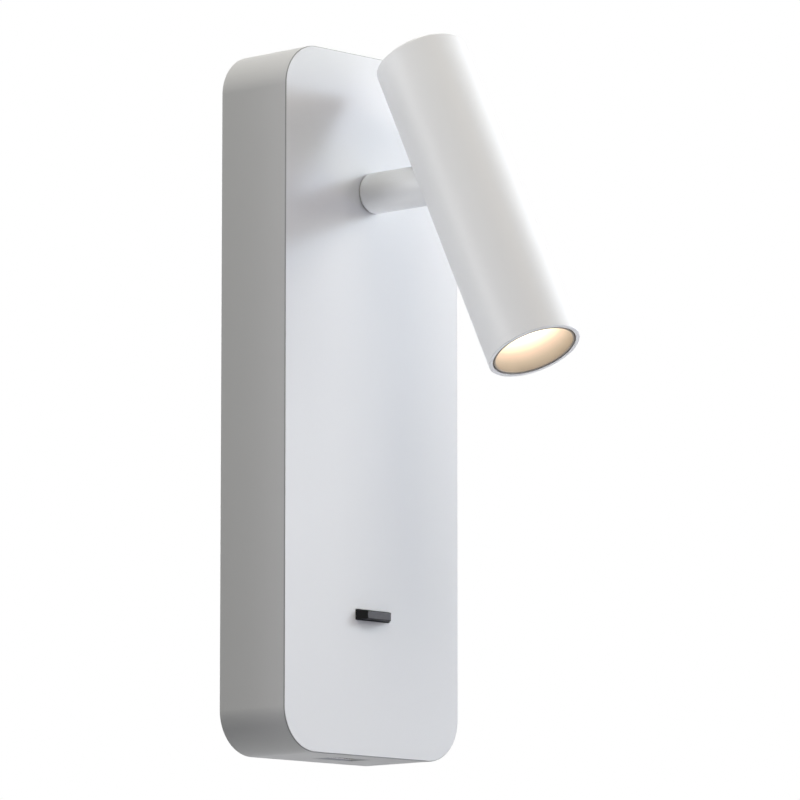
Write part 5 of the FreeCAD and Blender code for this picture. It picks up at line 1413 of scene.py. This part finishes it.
def makeFinishes():
    made = {name: makePlain(name, f) for name, f in plain.items()}
    white = (0.80, 0.805, 0.815)
    made["white_paint"] = powderPaint("white_paint", white)
    # the housing's paint carries painted shade along its front edge
    made["housing_paint"] = powderPaint("housing_paint", white, paintedEdgeShade=0.45)

    made["zinc_steel"] = zinc = surface("zinc_steel", (0.60, 0.62, 0.64), 0.36, 1.0)
    spangle = pattern(zinc, "ShaderNodeTexVoronoi", scale=260, output="Color", feature="SMOOTH_F1", Smoothness=0.35)
    into(zinc, Base_Color=ramp(zinc, spangle, [(0.2, (0.50, 0.515, 0.53)), (0.8, (0.56, 0.57, 0.58))]))
    gloss(zinc, speckle(zinc, 420, 5), 0.30, 0.46)
    relief(zinc, speckle(zinc, 1600, 3, (1, 1, 0.12)), 0.000004)

    # turned aluminium: fine rings about the head's axis
    made["aluminium"] = alu = surface("aluminium", (0.78, 0.79, 0.80), 0.3, 1.0)
    mottle(alu, (0.76, 0.77, 0.78), 0.05, 300, 4)
    rings = pattern(alu, "ShaderNodeTexWave", scale=900, **lean, output="Fac", wave_type="RINGS",
                    rings_direction="Z", Distortion=0.4, Detail=2.0)
    gloss(alu, rings, 0.24, 0.38, 0.0, 1.0)
    relief(alu, rings, 0.000004)

    # the lever is black plastic; a painted sheen makes its front face grey, and painted shade keeps its sides near
    # black
    made["lever_plastic"] = lever = surface("lever_plastic", (0.006, 0.006, 0.0065), 0.45, IOR=1.52,
                                            Specular_IOR_Level=0.14)
    stops = [(0.0, (0.0045, 0.0045, 0.005)), (1.0, (0.128, 0.128, 0.138))]
    # painted light and shade by the face's own normal: grey where it faces the front, near black where it turns away
    front = ramp(lever, facingY(lever, -0.90, -0.99, 0, 1), stops)
    patches = ramp(lever, speckle(lever, 900, 3), [(0.3, (0.86, 0.86, 0.86)), (0.7, (1, 1, 1))])
    into(lever, Base_Color=blend(lever, front, patches, 1, "MULTIPLY"))
    grain = speckle(lever, 3600, 2)
    relief(lever, grain, 0.000003)
    gloss(lever, grain, 0.30, 0.42)

    # circuit board: solder mask over glass weave, with copper showing through it as paler tracks
    made["board_green"] = board = surface("board_green", (0.02, 0.16, 0.07), 0.34, IOR=1.5, Coat_Weight=0.3,
                                          Coat_Roughness=0.25)
    tracks = pattern(board, "ShaderNodeTexBrick", scale=260, turn=(90, 0, 0), output="Fac", offset=0.37,
                     Mortar_Size=0.012, Mortar_Smooth=0.3, Brick_Width=1.1, Row_Height=0.34)
    into(board, Base_Color=ramp(board, tracks, [(0.0, (0.014, 0.115, 0.05)), (1.0, (0.05, 0.27, 0.12))]))
    relief(board, tracks, 0.00002)
    relief(board, pattern(board, "ShaderNodeTexWave", scale=800, Distortion=0.5), 0.000003)

    # transformer tape: turns of yellow film that overlap, with the darker winding below
    made["winding_tape"] = tape = surface("winding_tape", (0.78, 0.60, 0.10), 0.3, IOR=1.5, Coat_Weight=0.4,
                                          Coat_Roughness=0.2)
    turns = pattern(tape, "ShaderNodeTexWave", scale=130, bands_direction="Z", wave_profile="SAW", output="Fac",
                    Distortion=0.6, Detail=2.0)
    stops = [(0.0, (0.52, 0.36, 0.04)), (0.25, (0.76, 0.58, 0.10)), (1.0, (0.84, 0.68, 0.18))]
    into(tape, Base_Color=ramp(tape, turns, stops))
    relief(tape, turns, 0.00005)
    return made


# painted light in the head's mouth: the glow on the cone and on the lens
glow = {
    "from": -0.0500, "to": -0.0607,  # along the head's axis, from the lens out to the rim
    "stops": [
        (0.0, (1.0, 1.0, 1.0)), (0.2, (1.0, 1.0, 0.80)), (0.32, (0.88, 0.82, 0.60)),
        (0.5, (0.63, 0.46, 0.35)), (0.75, (0.31, 0.25, 0.19)), (1.0, (0.13, 0.10, 0.07)),
    ],
    # between these distances off the axis the painted glow gives way, so the outside of the rim stays dark
    "inside": (0.01195, 0.0121),
    "lens": (1.0, 0.90, 0.72, 1), "lensPaintedGlow": 0.6, "ledStrength": 4.0,
}


def makeLightFinishes(made):
    # painted light: the cone glows as though the LED lit it from within; the painted glow fades along the head's axis
    # to its rim
    made["cone_metal"] = cone = surface("cone_metal", (0.42, 0.36, 0.29), 0.36, 0.25)
    mottle(cone, (0.42, 0.36, 0.29), 0.04, 200, 3)
    axis = pattern(cone, "ShaderNodeSeparateXYZ", **lean, output="Z")
    colours = ramp(cone, remap(cone, axis, glow["from"], glow["to"], 0, 1), glow["stops"])
    across = pattern(cone, "ShaderNodeVectorMath", **lean, output="Value", operation="LENGTH", flat=True)
    fade = remap(cone, across, *glow["inside"], 0, 1)
    into(cone, Emission_Color=blend(cone, colours, (0, 0, 0, 1), fade), Emission_Strength=1.0)
    grain = speckle(cone, 2600, 2)
    relief(cone, grain, 0.000003)
    gloss(cone, grain, 0.30, 0.42)

    # painted light: the clear lens glows of itself, as though lit by the LED behind it
    made["lens_clear"] = lens = surface("lens_clear", (0.97, 0.98, 0.99), 0.05, IOR=1.49, Transmission_Weight=1.0,
                                        Emission_Color=glow["lens"], Emission_Strength=glow["lensPaintedGlow"])
    relief(lens, pattern(lens, "ShaderNodeTexVoronoi", scale=700, output="Distance"), 0.00002)
    gloss(lens, speckle(lens, 1500, 2), 0.03, 0.09)

    # phosphor: warm, with a slightly uneven glow
    made["led_face"] = led = surface("led_face", (0.90, 0.70, 0.25), 0.5, Emission_Strength=glow["ledStrength"])
    mottle(led, (0.90, 0.70, 0.25), 0.08, 900, 3)
    into(led, Emission_Color=ramp(led, speckle(led, 900, 3), [(0.3, (1.0, 0.78, 0.48)), (0.7, (1.0, 0.88, 0.66))]))


# finishes on the pieces

finishes = makeFinishes()
makeLightFinishes(finishes)
slotOf = {part.get("node", part.get("name")): part["material_slot"] for part in frame["record"]["subparts"]}


def dress(obj, name):
    obj.data.materials.clear()
    obj.data.materials.append(finishes[name])


for name, node in frame["nodes"].items():
    if name not in shown:
        dress(node, slotOf[name])
for name, piece in shown.items():
    dress(piece, "housing_paint" if name == "base_housing" else slotOf[name])
print("finishes:", len(finishes))
